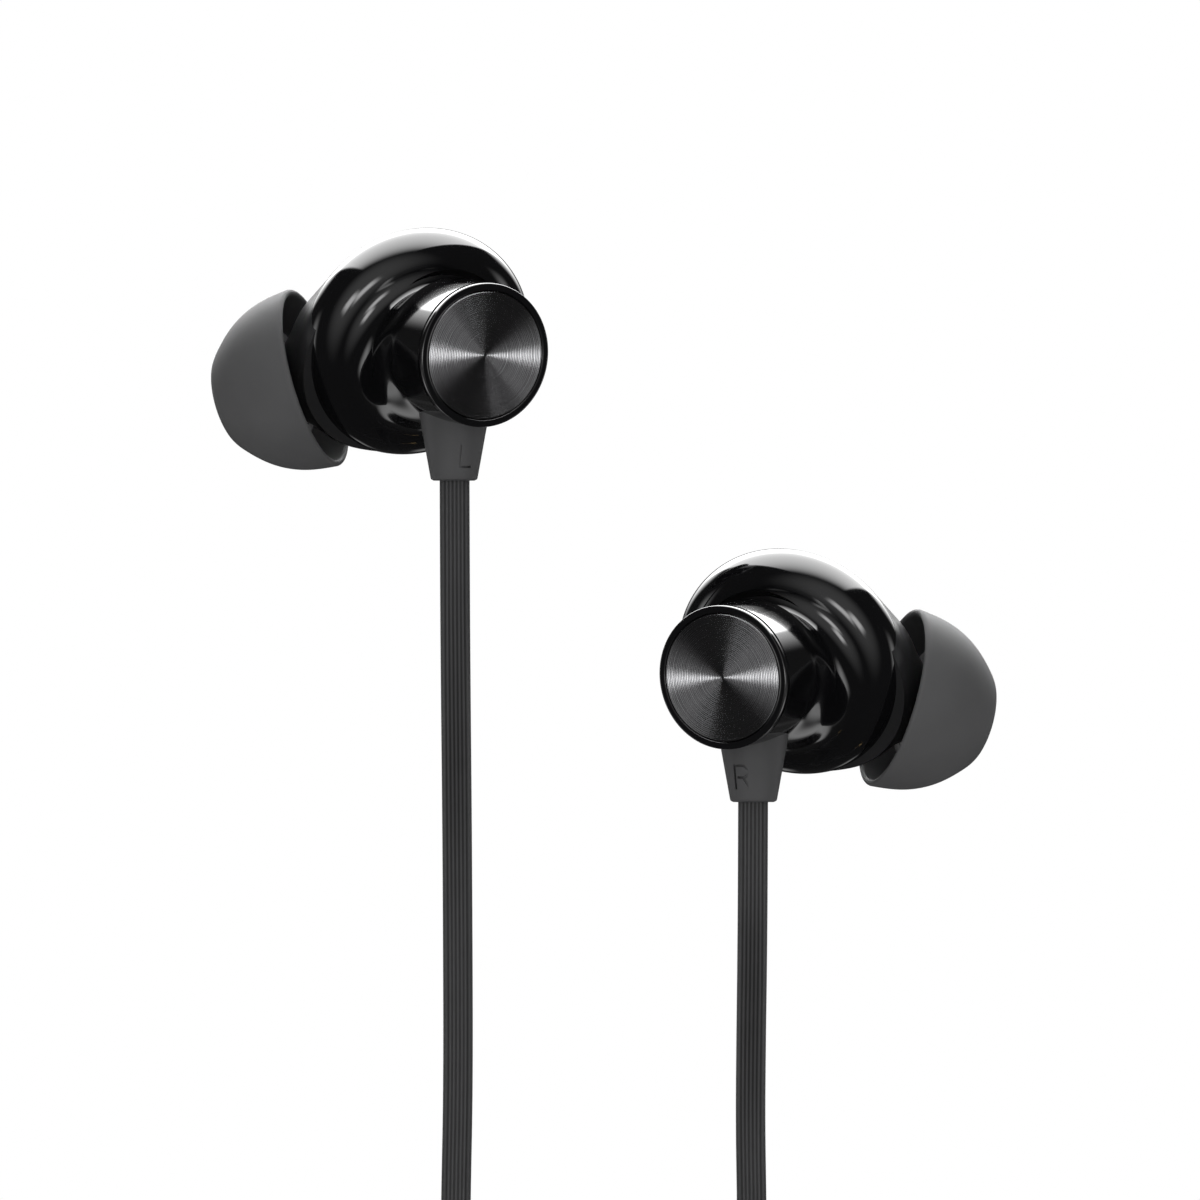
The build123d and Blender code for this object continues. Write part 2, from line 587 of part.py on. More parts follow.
parts["plug_sleeve"] = turned(plug, (liner_radius, grip_end - 2), (shaft_root_radius, grip_end - 2),
                              (shaft_root_radius, grip_end), (shaft_radius, grip_end),
                              (shaft_radius, sleeve_end), (liner_radius, sleeve_end))
with BuildPart() as plug_rings:
    add(washer(plug, liner_radius, shaft_radius, *rear_ring))
    add(washer(plug, liner_radius, shaft_radius, *front_ring))
parts["plug_rings"] = plug_rings.part
parts["plug_tip"] = turned(plug, (0, grip_end - 2), (core_radius, grip_end - 2), (core_radius, tip_start),
                           (shaft_radius, tip_start), (shaft_radius, tip_start + 0.35),
                           (1.2, tip_start + 0.8), (1.6, tip_start + 1.5), (1.55, tip_start + 1.9),
                           (0.6, shaft_tip), (0, shaft_tip))
bands = [(sleeve_end, rear_ring[0]), (rear_ring[1], front_ring[0]), (front_ring[1], tip_start)]
band_outline = []
for low, high in bands:
    band_outline += [(liner_radius, low), (shaft_radius, low), (shaft_radius, high), (liner_radius, high)]
parts["plug_insulator"] = turned(plug, (core_radius, grip_end - 2), (liner_radius, grip_end - 2),
                                 *band_outline[:-1], (core_radius, tip_start))

# ---- ties round the wound leads ---------------------------------------------------------------------
tie_width, tie_thickness = 3.0, 0.5
tie_places = [(*main_coil_solid[0], 270.0, main_innermost - main_width / 2, *main_coil_solid[1:])]
for side, tie_angle in (("left", 205.0), ("right", 335.0)):
    (x, y), outermost, innermost, _ = leg_coils[side]
    inner, outer = innermost - leg_width / 2, outermost + leg_width / 2
    tie_places.append((x, y, tie_angle, inner, outer, leg_coil_height))
with BuildPart() as lead_ties:
    for x, y, angle, inner, outer, height in tie_places:
        out = Vector(cos(radians(angle)), sin(radians(angle)), 0)
        middle = Vector(x, y, 0) + out * (inner + outer) / 2
        loop = Plane(origin=middle + Vector(0, 0, height / 2), x_dir=out, z_dir=out.cross(Vector(0, 0, 1)))
        span = outer - inner + 2 * fit_gap
        with BuildSketch(loop.offset(-tie_width / 2)):
            with Locations((0, tie_thickness / 2)):
                Rectangle(span + 2 * tie_thickness, height + tie_thickness)
            with Locations((0, 0)):
                Rectangle(span, height, mode=Mode.SUBTRACT)
        extrude(amount=tie_width)
    for name in ("left_leg_coil", "right_leg_coil", "main_coil"):
        add(parts[name], mode=Mode.SUBTRACT)
parts["lead_ties"] = lead_ties.part

for name, piece in parts.items():
    piece.label = name
    export_step(piece, f"parts/{name}.step")
print(f"bud height {face_height:.3f}, left face y {left_face_y:.3f}")
print("plug start", plug_start, "line", plug_line)
print(len(parts), "nodes")
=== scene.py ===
from math import cos, pi, radians, sin, tan

import bmesh
import bpy
import numpy as np
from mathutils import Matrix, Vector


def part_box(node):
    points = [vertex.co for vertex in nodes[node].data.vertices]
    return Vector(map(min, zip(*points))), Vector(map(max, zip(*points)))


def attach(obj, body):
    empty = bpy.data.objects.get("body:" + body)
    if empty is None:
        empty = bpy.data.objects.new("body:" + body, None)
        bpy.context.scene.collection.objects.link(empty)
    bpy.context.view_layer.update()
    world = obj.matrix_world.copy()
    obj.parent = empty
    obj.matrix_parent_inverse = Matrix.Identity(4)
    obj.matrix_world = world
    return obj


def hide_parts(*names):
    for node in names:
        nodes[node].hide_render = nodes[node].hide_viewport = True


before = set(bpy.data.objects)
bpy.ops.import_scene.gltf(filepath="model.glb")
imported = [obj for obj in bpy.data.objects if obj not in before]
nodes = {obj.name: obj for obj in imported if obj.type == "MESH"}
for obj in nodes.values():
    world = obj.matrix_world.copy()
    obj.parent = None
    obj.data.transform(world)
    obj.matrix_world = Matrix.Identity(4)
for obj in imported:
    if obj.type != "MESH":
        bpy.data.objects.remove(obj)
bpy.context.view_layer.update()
scene = bpy.context.scene
MM = 0.001

# ---- Camera -------------------------------------------------------------------------------------
# It looks straight down on the two buds, with +Y at the top, through a lens so long that the view
# is nearly parallel. The wound-up spare lead lies just below the view.
view_width = 81 * MM
view_middle = (-0.26 * MM, -5.78 * MM)
camera_distance = 1.2
camera_data = bpy.data.cameras.new("camera")
camera_data.sensor_width = 36
camera_data.lens = camera_data.sensor_width * camera_distance / view_width
camera_data.clip_start, camera_data.clip_end = 0.05, 20
camera = bpy.data.objects.new("camera", camera_data)
camera.location = (*view_middle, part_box("left_faceplate")[1].z + camera_distance)
scene.collection.objects.link(camera)
scene.camera = camera
scene.view_settings.view_transform = "Standard"


# ---- Studio -------------------------------------------------------------------------------------
# Softboxes round the object, as smooth patches of light by direction, mirrored left to right, so
# that each bud is lit as the other is. The floor is plain white and takes no part in reflections.
def add(tree, kind, inputs=None, **settings):
    """A new node with its settings, and each of its inputs set to a value or joined to an output."""
    made = tree.nodes.new(kind)
    for name, value in settings.items():
        setattr(made, name, value)
    for name, value in (inputs or {}).items():
        if isinstance(value, bpy.types.NodeSocket):
            tree.links.new(value, made.inputs[name])
        else:
            made.inputs[name].default_value = value
    return made


def maths(tree, operation, *values):
    """The output of a Math node on one to three values."""
    return add(tree, "ShaderNodeMath", dict(enumerate(values)), operation=operation).outputs[0]


def softbox(tree, direction, azimuth, elevation, size, softness, strength):
    """Light from a rectangle seen along azimuth and elevation. Its half sizes and soft edges are
    in degrees, and a direction's place on it is its slope from the rectangle's middle."""
    a, e = radians(azimuth), radians(elevation)
    facing = (cos(e) * cos(a), cos(e) * sin(a), sin(e))
    across = (-sin(a), cos(a), 0)
    upright = (-sin(e) * cos(a), -sin(e) * sin(a), cos(e))
    ahead, beside, above = [
        add(tree, "ShaderNodeVectorMath", {0: direction, 1: axis}, operation="DOT_PRODUCT").outputs["Value"]
        for axis in (facing, across, upright)]
    light = maths(tree, "GREATER_THAN", ahead, 0.0)
    depth = maths(tree, "MAXIMUM", ahead, 0.001)
    for offset, half, soft in zip((beside, above), size, softness):
        slope = maths(tree, "ABSOLUTE", maths(tree, "DIVIDE", offset, depth))
        edge = add(tree, "ShaderNodeMapRange", {
            "Value": slope, "From Min": tan(radians(half + soft / 2)), "From Max": tan(radians(half - soft / 2)),
        }, interpolation_type="SMOOTHSTEP").outputs["Result"]
        light = maths(tree, "MULTIPLY", light, edge)
    return maths(tree, "MULTIPLY", light, strength)


world = bpy.data.worlds.new("studio")
world.use_nodes = True
scene.world = world
sky = world.node_tree
sky.nodes.clear()
towards = add(sky, "ShaderNodeTexCoord").outputs["Generated"]
split = add(sky, "ShaderNodeSeparateXYZ", {0: towards})
mirrored = add(sky, "ShaderNodeCombineXYZ", {
    "X": maths(sky, "ABSOLUTE", split.outputs["X"]), "Y": split.outputs["Y"], "Z": split.outputs["Z"],
}).outputs[0]
overhead = add(sky, "ShaderNodeMapRange", {"Value": split.outputs["Z"], "From Min": 0.66, "From Max": 1.0},
               interpolation_type="SMOOTHSTEP").outputs["Result"]
fill = maths(sky, "MULTIPLY_ADD", overhead, 0.75, 0.05)
softboxes = [  # azimuth, elevation, half sizes, soft edges, strength
    (90, -14, (42, 36), (3, 56), 10.0),
    (60, -50, (22, 15), (22, 18), 6.0),
    (-15, 2, (18, 8), (24, 14), 2.6),
    (-38, -22, (12, 11), (16, 16), 1.6),
    (-20, -38, (10, 7), (12, 10), 1.5),
    (-63, -46, (10, 8), (5, 12), 1.0),
    (-52, 78, (7, 6), (8, 8), 7.0),
]
for azimuth, elevation, size, softness, strength in softboxes:
    fill = maths(sky, "ADD", fill, softbox(sky, mirrored, azimuth, elevation, size, softness, strength))
# matte surfaces are lit by an even soft light from above instead
matte_light = maths(sky, "MULTIPLY_ADD", maths(sky, "MAXIMUM", split.outputs["Z"], -0.2), 0.75, 0.32)
is_matte = add(sky, "ShaderNodeLightPath").outputs["Is Diffuse Ray"]
light = add(sky, "ShaderNodeMix", {0: is_matte, 2: fill, 3: matte_light}).outputs[0]
world.cycles.sampling_method = "NONE"
background = add(sky, "ShaderNodeBackground", {"Strength": light})
add(sky, "ShaderNodeOutputWorld", {"Surface": background.outputs[0]})

floor_data = bpy.data.meshes.new("floor")
floor_half = 6.0
floor_data.from_pydata([(-floor_half, -floor_half, 0), (floor_half, -floor_half, 0), (floor_half, floor_half, 0),
                        (-floor_half, floor_half, 0)], [], [(0, 1, 2, 3)])
floor_material = bpy.data.materials.new("white_sweep")
floor_material.use_nodes = True
floor_tree = floor_material.node_tree
floor_tree.nodes.clear()
floor_glow = add(floor_tree, "ShaderNodeEmission", {"Color": (1, 1, 1, 1), "Strength": 1.0})
add(floor_tree, "ShaderNodeOutputMaterial", {"Surface": floor_glow.outputs[0]})
floor_data.materials.append(floor_material)
floor = bpy.data.objects.new("floor", floor_data)
for ray in ("diffuse", "glossy", "transmission", "shadow"):
    setattr(floor, f"visible_{ray}", False)
scene.collection.objects.link(floor)


# ---- Leads --------------------------------------------------------------------------------------
# Flat two-core leads with fine ribs along both faces, extruded in soft dark grey rubber. Each bud
# has its own, and a wider one runs from the splitter through the remote to the plug. The spare
# length is wound into neat round coils.
def make_piece(name, points, faces, material, smooth_angle=None):
    """A mesh piece from an array of points in metres and an array of faces."""
    mesh = bpy.data.meshes.new(name)
    mesh.from_pydata(points.tolist(), [], faces.tolist() if hasattr(faces, "tolist") else faces)
    mesh.polygons.foreach_set("use_smooth", np.ones(len(mesh.polygons), bool))
    if smooth_angle is not None:
        mesh.set_sharp_from_angle(angle=radians(smooth_angle))
    mesh.materials.append(material)
    mesh.update()
    piece = bpy.data.objects.new(name, mesh)
    scene.collection.objects.link(piece)
    return piece


def settle(piece, body, slot, *stands_for):
    """Put a piece on its body, in place of the CAD pieces that it stands for. The slot is not used."""
    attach(piece, body)
    if stands_for:
        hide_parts(*stands_for)


def grid_faces(rows, columns, close_rows=False):
    """Quads between neighbouring rows of a grid whose columns close on themselves."""
    row = np.arange(rows if close_rows else rows - 1)[:, None]
    column = np.arange(columns)[None, :]
    ahead, across = (row + 1) % rows, (column + 1) % columns
    corners = [row * columns + column, row * columns + across, ahead * columns + across, ahead * columns + column]
    return np.stack([np.broadcast_to(c, (row.shape[0], columns)) for c in corners], -1).reshape(-1, 4)


def closed_tube(rings):
    """Points and faces of a tube from its rings, with a flat fan of faces over each end. A row of
    the grid is a ring, and each end has one more point, in the middle of its ring."""
    rows, columns = rings.shape[:2]
    points = np.concatenate([rings.reshape(-1, 3), rings[:1].mean(1), rings[-1:].mean(1)])
    faces = grid_faces(rows, columns).tolist()
    first, last = rows * columns, rows * columns + 1
    for column in range(columns):
        across = (column + 1) % columns
        faces.append([across, column, first])
        faces.append([(rows - 1) * columns + column, (rows - 1) * columns + across, last])
    return points, faces


def new_material(name):
    """A material with one Principled shader, and that shader."""
    made = bpy.data.materials.new(name)
    made.use_nodes = True
    return made, made.node_tree.nodes["Principled BSDF"]


def shader_group(name, inputs, outputs):
    """An empty node group with named inputs and outputs, and its input and output nodes."""
    group = bpy.data.node_groups.new(name, "ShaderNodeTree")
    for label, kind, value in inputs:
        group.interface.new_socket(label, in_out="INPUT", socket_type=kind).default_value = value
    for label, kind in outputs:
        group.interface.new_socket(label, in_out="OUTPUT", socket_type=kind)
    return group, add(group, "NodeGroupInput"), add(group, "NodeGroupOutput")


def moulded_skin_group():
    """Fine grain for moulded rubber and plastic: two sizes of noise give the height, a slow noise
    turns the colour a little lighter or darker, and the roughness follows the fine noise."""
    group, given, out = shader_group("moulded_skin", [
        ("Colour", "NodeSocketColor", (0.05, 0.05, 0.05, 1)), ("Roughness", "NodeSocketFloat", 0.5),
        ("Variation", "NodeSocketFloat", 0.2), ("Grain Scale", "NodeSocketFloat", 4000.0),
    ], [("Colour", "NodeSocketColor"), ("Roughness", "NodeSocketFloat"), ("Height", "NodeSocketFloat")])
    place = add(group, "ShaderNodeTexCoord").outputs["Object"]
    grain = add(group, "ShaderNodeTexNoise", {
        "Vector": place, "Scale": given.outputs["Grain Scale"], "Detail": 3.0}).outputs["Fac"]
    slow = add(group, "ShaderNodeTexNoise", {"Vector": place, "Scale": 260.0, "Detail": 2.0}).outputs["Fac"]
    centred = maths(group, "SUBTRACT", slow, 0.5)
    gain = maths(group, "MULTIPLY_ADD", centred, given.outputs["Variation"], 1.0)
    tinted = add(group, "ShaderNodeVectorMath", {0: given.outputs["Colour"], "Scale": gain}, operation="SCALE")
    group.links.new(tinted.outputs[0], out.inputs["Colour"])
    rougher = maths(group, "MULTIPLY_ADD", maths(group, "SUBTRACT", grain, 0.5), 0.12, given.outputs["Roughness"])
    group.links.new(rougher, out.inputs["Roughness"])
    group.links.new(grain, out.inputs["Height"])
    return group


moulded_skin = moulded_skin_group()


def moulded_material(name, colour, roughness, variation, grain_scale, grain_depth, metallic=0.0, specular=0.5):
    """Matte or satin rubber, plastic or metal, with a fine grain that is grain_depth deep."""
    made, shader = new_material(name)
    shader.inputs["Metallic"].default_value = metallic
    shader.inputs["Specular IOR Level"].default_value = specular
    tree = made.node_tree
    skin = add(tree, "ShaderNodeGroup", node_tree=moulded_skin)
    skin.inputs["Colour"].default_value = (*colour, 1)
    skin.inputs["Roughness"].default_value = roughness
    skin.inputs["Variation"].default_value = variation
    skin.inputs["Grain Scale"].default_value = grain_scale
    bump = add(tree, "ShaderNodeBump", {"Height": skin.outputs["Height"], "Distance": grain_depth, "Strength": 1.0})
    tree.links.new(skin.outputs["Colour"], shader.inputs["Base Color"])
    tree.links.new(skin.outputs["Roughness"], shader.inputs["Roughness"])
    tree.links.new(bump.outputs[0], shader.inputs["Normal"])
    return made


def ribbed_material_with_painted_shade(name, colour):
    """Lead jacket: dull moulded rubber, with painted shade that darkens its colour down in the grooves between its
    ribs.
    """
    made = moulded_material(name, colour, 0.5, 0.3, 5000.0, 0.004 * MM, specular=0.2)
    tree = made.node_tree
    shader, skin = tree.nodes["Principled BSDF"], tree.nodes["Group"]
    # painted shade: the colour is darkened by up to three quarters where the surface sinks into a groove
    sunk = add(tree, "ShaderNodeAttribute", attribute_name="sunk").outputs["Fac"]
    painted_groove_shade = maths(tree, "MULTIPLY_ADD", sunk, -0.75, 1.0)
    shaded = add(tree, "ShaderNodeVectorMath", {0: skin.outputs["Colour"], "Scale": painted_groove_shade}, operation="SCALE")
    tree.links.new(shaded.outputs[0], shader.inputs["Base Color"])
    return made


lead_rubber = ribbed_material_with_painted_shade("lead_rubber", (0.085, 0.085, 0.087))
leg_width, leg_thickness = 2.03, 1.3
main_width, main_thickness = 2.6, 1.6
rib_pitch = 0.27
rib_depth = 0.05


def lead_outline(width, thickness, count=112):
    """Offsets across and up of a flat lead's section: a slot-shaped outline, run round at even
    steps, sunk by a cosine of the distance across, so that ribs run along both faces."""
    straight, arc = width - thickness, pi * thickness / 2
    along = np.linspace(0, 2 * (straight + arc), count, endpoint=False)
    half = along % (straight + arc)
    side = np.where(along < straight + arc, 1, -1)
    turn = np.maximum(half - straight, 0) / (thickness / 2)
    x = np.where(half < straight, half - straight / 2, straight / 2 + np.sin(turn) * thickness / 2)
    y = np.where(half < straight, thickness / 2, np.cos(turn) * thickness / 2)
    outwards_x, outwards_y = np.where(half < straight, 0, np.sin(turn)), np.where(half < straight, 1, np.cos(turn))
    flat = np.clip(2 * outwards_y**2, 0, 1)
    sunk = rib_depth * flat * (1 - np.cos(2 * pi * x / rib_pitch)) / 2
    return side * (x - outwards_x * sunk), side * (y - outwards_y * sunk), sunk / rib_depth


def route_line(name, route, steps):
    """Points along the smooth NURBS line that has the route's points as its control points."""
    curve = bpy.data.curves.new(name, "CURVE")
    curve.dimensions = "3D"
    spline = curve.splines.new("NURBS")
    spline.points.add(len(route) - 1)
    spline.points.foreach_set("co", np.column_stack([route, np.ones(len(route))]).ravel())
    spline.order_u = 3
    spline.use_endpoint_u = True
    spline.resolution_u = steps
    carrier = bpy.data.objects.new(name, curve)
    scene.collection.objects.link(carrier)
    traced = bpy.data.meshes.new_from_object(carrier)
    line = np.zeros(len(traced.vertices) * 3)
    traced.vertices.foreach_get("co", line)
    bpy.data.objects.remove(carrier)
    bpy.data.curves.remove(curve)
    bpy.data.meshes.remove(traced)
    line = line.reshape(-1, 3)
    keep = np.r_[True, np.linalg.norm(np.diff(line, axis=0), axis=1) > 1e-7]
    return line[keep]


def flat_lead(name, line, width, thickness):
    """A ribbed flat lead along a line: the section stands across the line's direction, with its
    width level."""
    heading = np.gradient(line, axis=0)
    heading /= np.linalg.norm(heading, axis=1)[:, None]
    level = np.cross(heading, (0, 0, 1))
    level /= np.linalg.norm(level, axis=1)[:, None]
    upright = np.cross(level, heading)
    across, above, sunk = lead_outline(width, thickness)
    rings = (line[:, None] + level[:, None] * across[None, :, None] * MM
             + upright[:, None] * above[None, :, None] * MM)
    points, faces = closed_tube(rings[:, ::-1])
    jacket = make_piece(name, points, faces, lead_rubber, 60)
    # each point's sunk depth, which drives the painted shade in the grooves
    spread = jacket.data.attributes.new("sunk", "FLOAT", "POINT")
    spread.data.foreach_set("value", np.r_[np.tile(sunk[::-1], len(line)), 0, 0])
    return jacket


def wound(centre, entry_angle, winding, turns_out, radii, layers, layer_height, floor_height):
    """Control points of a coil. Each turn has 16 points. The radius runs evenly from the outermost
    turn to the innermost on one layer and back on the next, and each layer lies on the last."""
    count = int(round(16 * turns_out))
    share = (np.arange(count) + 1) / (count + 1)
    angle = radians(entry_angle) + winding * share * turns_out * 2 * pi
    layer = share * layers
    within = layer % 1
    inwards = np.where(layer.astype(int) % 2 == 0, within, 1 - within)
    radius = radii[0] + (radii[1] - radii[0]) * inwards
    ramp = 0.08
    rise = np.floor(layer) + np.clip((within - 1 + ramp) / ramp, 0, 1) * (layer < layers - 1)
    height = floor_height + rise * layer_height
    # control points stand a little outside the turn that they make
    reach = radius / cos(pi / 16) ** 0.5
    return np.column_stack([centre[0] + reach * np.cos(angle), centre[1] + reach * np.sin(angle), height])


relief_bottom = {side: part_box(f"{side}_strain_relief")[0].y / MM for side in ("left", "right")}
splitter_low, splitter_high = (np.array(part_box("splitter_back")[i]) / MM for i in (0, 1))
splitter_x = (splitter_low[0] + splitter_high[0]) / 2
lead_level = splitter_high[2]
exit_level = 12.359
leg_floor = leg_thickness / 2
leg_coils = {  # middle, middle radius of the outermost turn and of the innermost, entry angle
    "left": ((-13.9, -65.5), 11.8, 7.7, 30.0),
    "right": ((13.3, -65.5), 12.45, 8.35, 36.0),
}
leg_falls = {  # distance from the relief along the lead, and height, down to the table
    "left": [(6.0, 12.4), (13.5, 9.8), (21.5, 3.6), (29.0, leg_floor), (41.0, leg_floor)],
    "right": [(5.0, 12.4), (10.6, 10.1), (16.6, 3.6), (22.1, leg_floor)],
}
for side, ((centre_x, centre_y), outermost, innermost, entry_angle) in leg_coils.items():
    hand = -1 if side == "left" else 1
    exit_x, exit_y = hand * 10.128, relief_bottom[side]
    entry_x = centre_x - hand * outermost * cos(radians(entry_angle))
    entry_y = centre_y + outermost * sin(radians(entry_angle))
    bend_y = entry_y + (exit_x - entry_x) * hand / tan(radians(entry_angle))
    inlet_x = splitter_x + hand * 1.35
    first_angle = entry_angle if side == "left" else 180 - entry_angle
    turns = 4 + entry_angle / 360
    route = np.array([
        (exit_x, exit_y + 1.4, exit_level),
        *[(exit_x - hand * along / 250, exit_y - along, height) for along, height in leg_falls[side]],
        (exit_x, bend_y + 1.8, leg_floor), (exit_x, bend_y, leg_floor),
        *wound((centre_x, centre_y), first_angle, hand, turns, (outermost, innermost), 2, leg_thickness + 0.1,
               leg_floor),
        (centre_x - hand * outermost, centre_y, leg_floor + leg_thickness + 0.1),
        (centre_x - hand * outermost, centre_y - 5, leg_floor + leg_thickness + 0.1),
        (inlet_x, centre_y - 11, lead_level),
        (inlet_x, splitter_high[1] - 1.4, lead_level),
    ]) * MM
    line = route_line(f"{side}_lead_line", route, 6)
    leg = flat_lead(f"{side}_lead", line, leg_width, leg_thickness)
    settle(leg, "root", "lead_jacket", f"{side}_leg_start", f"{side}_leg_coil", f"{side}_leg_end")

remote_turn = radians(20.0)
remote_along = np.array([-sin(remote_turn), -cos(remote_turn)])
remote_start = np.array([-1.8, -98.3])
remote_length = 24.0
remote_end = remote_start + remote_along * remote_length
main_floor = main_thickness / 2
main_layers, main_layer = 4, main_thickness + 0.05
main_outermost, main_innermost = 16.2, 10.5
main_entry_angle = 160.0
main_reach = main_outermost - 0.15
main_entry = remote_end + remote_along * 14
main_centre = main_entry - main_reach * np.array([cos(radians(main_entry_angle)), sin(radians(main_entry_angle))])
leave_angle = radians(-25.0)
plug_line = np.array([-sin(leave_angle), cos(leave_angle)])
leave = main_centre + main_reach * np.array([cos(leave_angle), sin(leave_angle)])
plug_level = 3.2
top_layer = main_floor + (main_layers - 1) * main_layer
main_route = np.array([
    (splitter_x, splitter_low[1] + 1.4, lead_level),
    (splitter_x, splitter_low[1] - 4, lead_level),
    (*(remote_start + remote_along * 1.5), lead_level),
    (*(remote_start + remote_along * 12), lead_level),
    (*(remote_end - remote_along * 1.5), lead_level),
    (*(remote_end + remote_along * 2.5), lead_level),
    (*(remote_end + remote_along * 8.5), main_floor),
    *wound(main_centre, main_entry_angle, 1, 8 + (360 - 25 - 160) / 360, (main_outermost, main_innermost),
           main_layers, main_layer, main_floor),
    (*leave, top_layer), (*(leave + plug_line * 5), top_layer), (*(leave + plug_line * 11), plug_level),
    (*(leave + plug_line * 16.4), plug_level),
]) * MM
main_line = route_line("main_lead_line", main_route, 5)
main_lead = flat_lead("main_lead", main_line, main_width, main_thickness)
settle(main_lead, "root", "lead_jacket", "main_lead_start", "main_lead_middle", "main_lead_end", "main_coil")


# ---- Front housings -----------------------------------------------------------------------------
# Piano-black moulding in gloss ABS: a slanted barrel that flares into the rounded shoulder of the
# body, with a narrow crescent pocket beside the barrel. It snaps onto the rear housing.
def direction(tilt, heading):
    """Unit vector at an angle from +Z, towards a heading measured from +X."""
    across = sin(radians(tilt))
    return np.array([across * cos(radians(heading)), across * sin(radians(heading)), cos(radians(tilt))])


face_normal = direction(30.0, -12.5)
body_normal = direction(32.0, -47.0)
tip_normal = direction(104.65, 195.75)
hinge_line = np.cross(face_normal, body_normal)
hinge_line /= np.linalg.norm(hinge_line)
body_centre = -9.85 * face_normal
tip_seat = body_centre + np.array([-7.045, -2.475, -1.37])
tip_across = np.cross(tip_normal, (0, 0, 1))
tip_across /= np.linalg.norm(tip_across)
barrel_radius = 4.9
parting_radius = 7.94
parting_height = 0.93
hands = {"left": 1, "right": -1}
half_plate = 0.265
face_centre = {}
for side, hand in hands.items():
    low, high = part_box(f"{side}_faceplate")
    outwards = face_normal * (hand, 1, 1)
    face_centre[side] = (np.array(low) + np.array(high)) / 2 / MM + outwards * half_plate


def placed(points, side):
    """Points of the left bud, in millimetres from its faceplate, as the given side's, in metres."""
    return (points * (hands[side], 1, 1) + face_centre[side]) * MM


def handed(faces, side):
    """Faces that point outwards on the given side: a mirrored bud's are turned round."""
    faces = [list(face) for face in faces]
    return faces if side == "left" else [face[::-1] for face in faces]


def smooth_through(knots, values, at):
    """A natural cubic spline: its second slopes at the knots solve the equations that make the
    first slopes meet, and they are nil at both ends."""
    knots, values = np.asarray(knots, float), np.asarray(values, float)
    if values.ndim == 1:
        values = values[:, None]
    gap = np.diff(knots)
    count = len(knots)
    table, side = np.eye(count), np.zeros((count, values.shape[1]))
    for i in range(1, count - 1):
        table[i, i - 1:i + 2] = gap[i - 1], 2 * (gap[i - 1] + gap[i]), gap[i]
        side[i] = 6 * ((values[i + 1] - values[i]) / gap[i] - (values[i] - values[i - 1]) / gap[i - 1])
    bend = np.linalg.solve(table, side)
    i = np.clip(np.searchsorted(knots, at) - 1, 0, count - 2)  # the stretch that each place is in
    a, b = (knots[i + 1] - at)[:, None], (at - knots[i])[:, None]
    h = gap[i][:, None]
    return ((bend[i] * a**3 + bend[i + 1] * b**3) / (6 * h)
            + (values[i] / h - bend[i] * h / 6) * a + (values[i + 1] / h - bend[i + 1] * h / 6) * b)


def rings_about(centres, normals, radii, count, x_dir=None):
    """Circles about centres, square to normals, that all start on the side of x_dir."""
    angle = np.linspace(0, 2 * pi, count, endpoint=False)
    x_dir = hinge_line if x_dir is None else x_dir
    across = np.cross(normals, x_dir)
    return (centres[:, None] + radii[:, None, None] * (
        np.cos(angle)[None, :, None] * x_dir + np.sin(angle)[None, :, None] * across[:, None]))


def turned(outline, origin, axis, x_dir, count=160):
    """A surface turned about an axis from an outline of (radius, height) points, closed outline."""
    outline = np.asarray(outline, float)
    centres = origin + outline[:, 1:] * axis
    return rings_about(centres, np.broadcast_to(axis, centres.shape), outline[:, 0], count, x_dir)


def cut_away(piece, cutter):
    """The piece with the cutter's space taken out of it, and the cutter removed."""
    cut = piece.modifiers.new("cut", "BOOLEAN")
    cut.operation, cut.solver, cut.object = "DIFFERENCE", "EXACT", cutter
    bpy.context.view_layer.update()
    finished = bpy.data.meshes.new_from_object(piece.evaluated_get(bpy.context.evaluated_depsgraph_get()))
    piece.modifiers.clear()
    piece.data = finished
    finished.set_sharp_from_angle(angle=radians(32))
    bpy.data.objects.remove(cutter)


def gloss_material(name, colour, roughness):
    """Polished moulding: near black, with faint smears that make the gloss a little uneven."""
    made, shader = new_material(name)
    tree = made.node_tree
    place = add(tree, "ShaderNodeTexCoord").outputs["Object"]
    smear = add(tree, "ShaderNodeTexNoise", {"Vector": place, "Scale": 420.0, "Detail": 4.0}).outputs["Fac"]
    ripple = add(tree, "ShaderNodeTexNoise", {"Vector": place, "Scale": 150.0, "Detail": 1.0}).outputs["Fac"]
    uneven = maths(tree, "MULTIPLY_ADD", maths(tree, "SUBTRACT", smear, 0.5), 0.05, roughness)
    tint = add(tree, "ShaderNodeMixRGB", {"Fac": smear, "Color1": (*colour, 1),
                                          "Color2": (*(c * 1.5 for c in colour), 1)})
    bump = add(tree, "ShaderNodeBump", {"Height": ripple, "Distance": 0.004 * MM, "Strength": 1.0})
    tree.links.new(uneven, shader.inputs["Roughness"])
    tree.links.new(tint.outputs[0], shader.inputs["Base Color"])
    tree.links.new(bump.outputs[0], shader.inputs["Normal"])
    shader.inputs["IOR"].default_value = 1.6
    return made


gloss_black = gloss_material("gloss_black", (0.0035, 0.0035, 0.004), 0.07)
# radius and height from the barrel's end to the parting: a straight barrel, a hollow arc, a round
# shoulder; the rings turn from the barrel's axis to the body's over the heights between the two
hollow = np.radians(np.linspace(180, 261.7, 50))
round_shoulder = np.radians(np.linspace(81.7, -20.0, 90)[1:])
outer = np.concatenate([
    np.column_stack([np.full(30, barrel_radius), np.linspace(9.25, 3.75, 31)[:-1]]),
    np.column_stack([6.5 + 1.6 * np.cos(hollow), 3.75 + 1.6 * np.sin(hollow)]),
    np.column_stack([5.95 + 2.2 * np.cos(round_shoulder), -0.01 + 2.2 * np.sin(round_shoulder)])])
turned_share = np.clip((5.6 - outer[:, 1]) / (5.6 - 2.2), 0, 1)
turned_share = turned_share**2 * (3 - 2 * turned_share)
outer = np.column_stack([outer[:, 1], outer[:, 0], turned_share])
shell_wall = 0.8
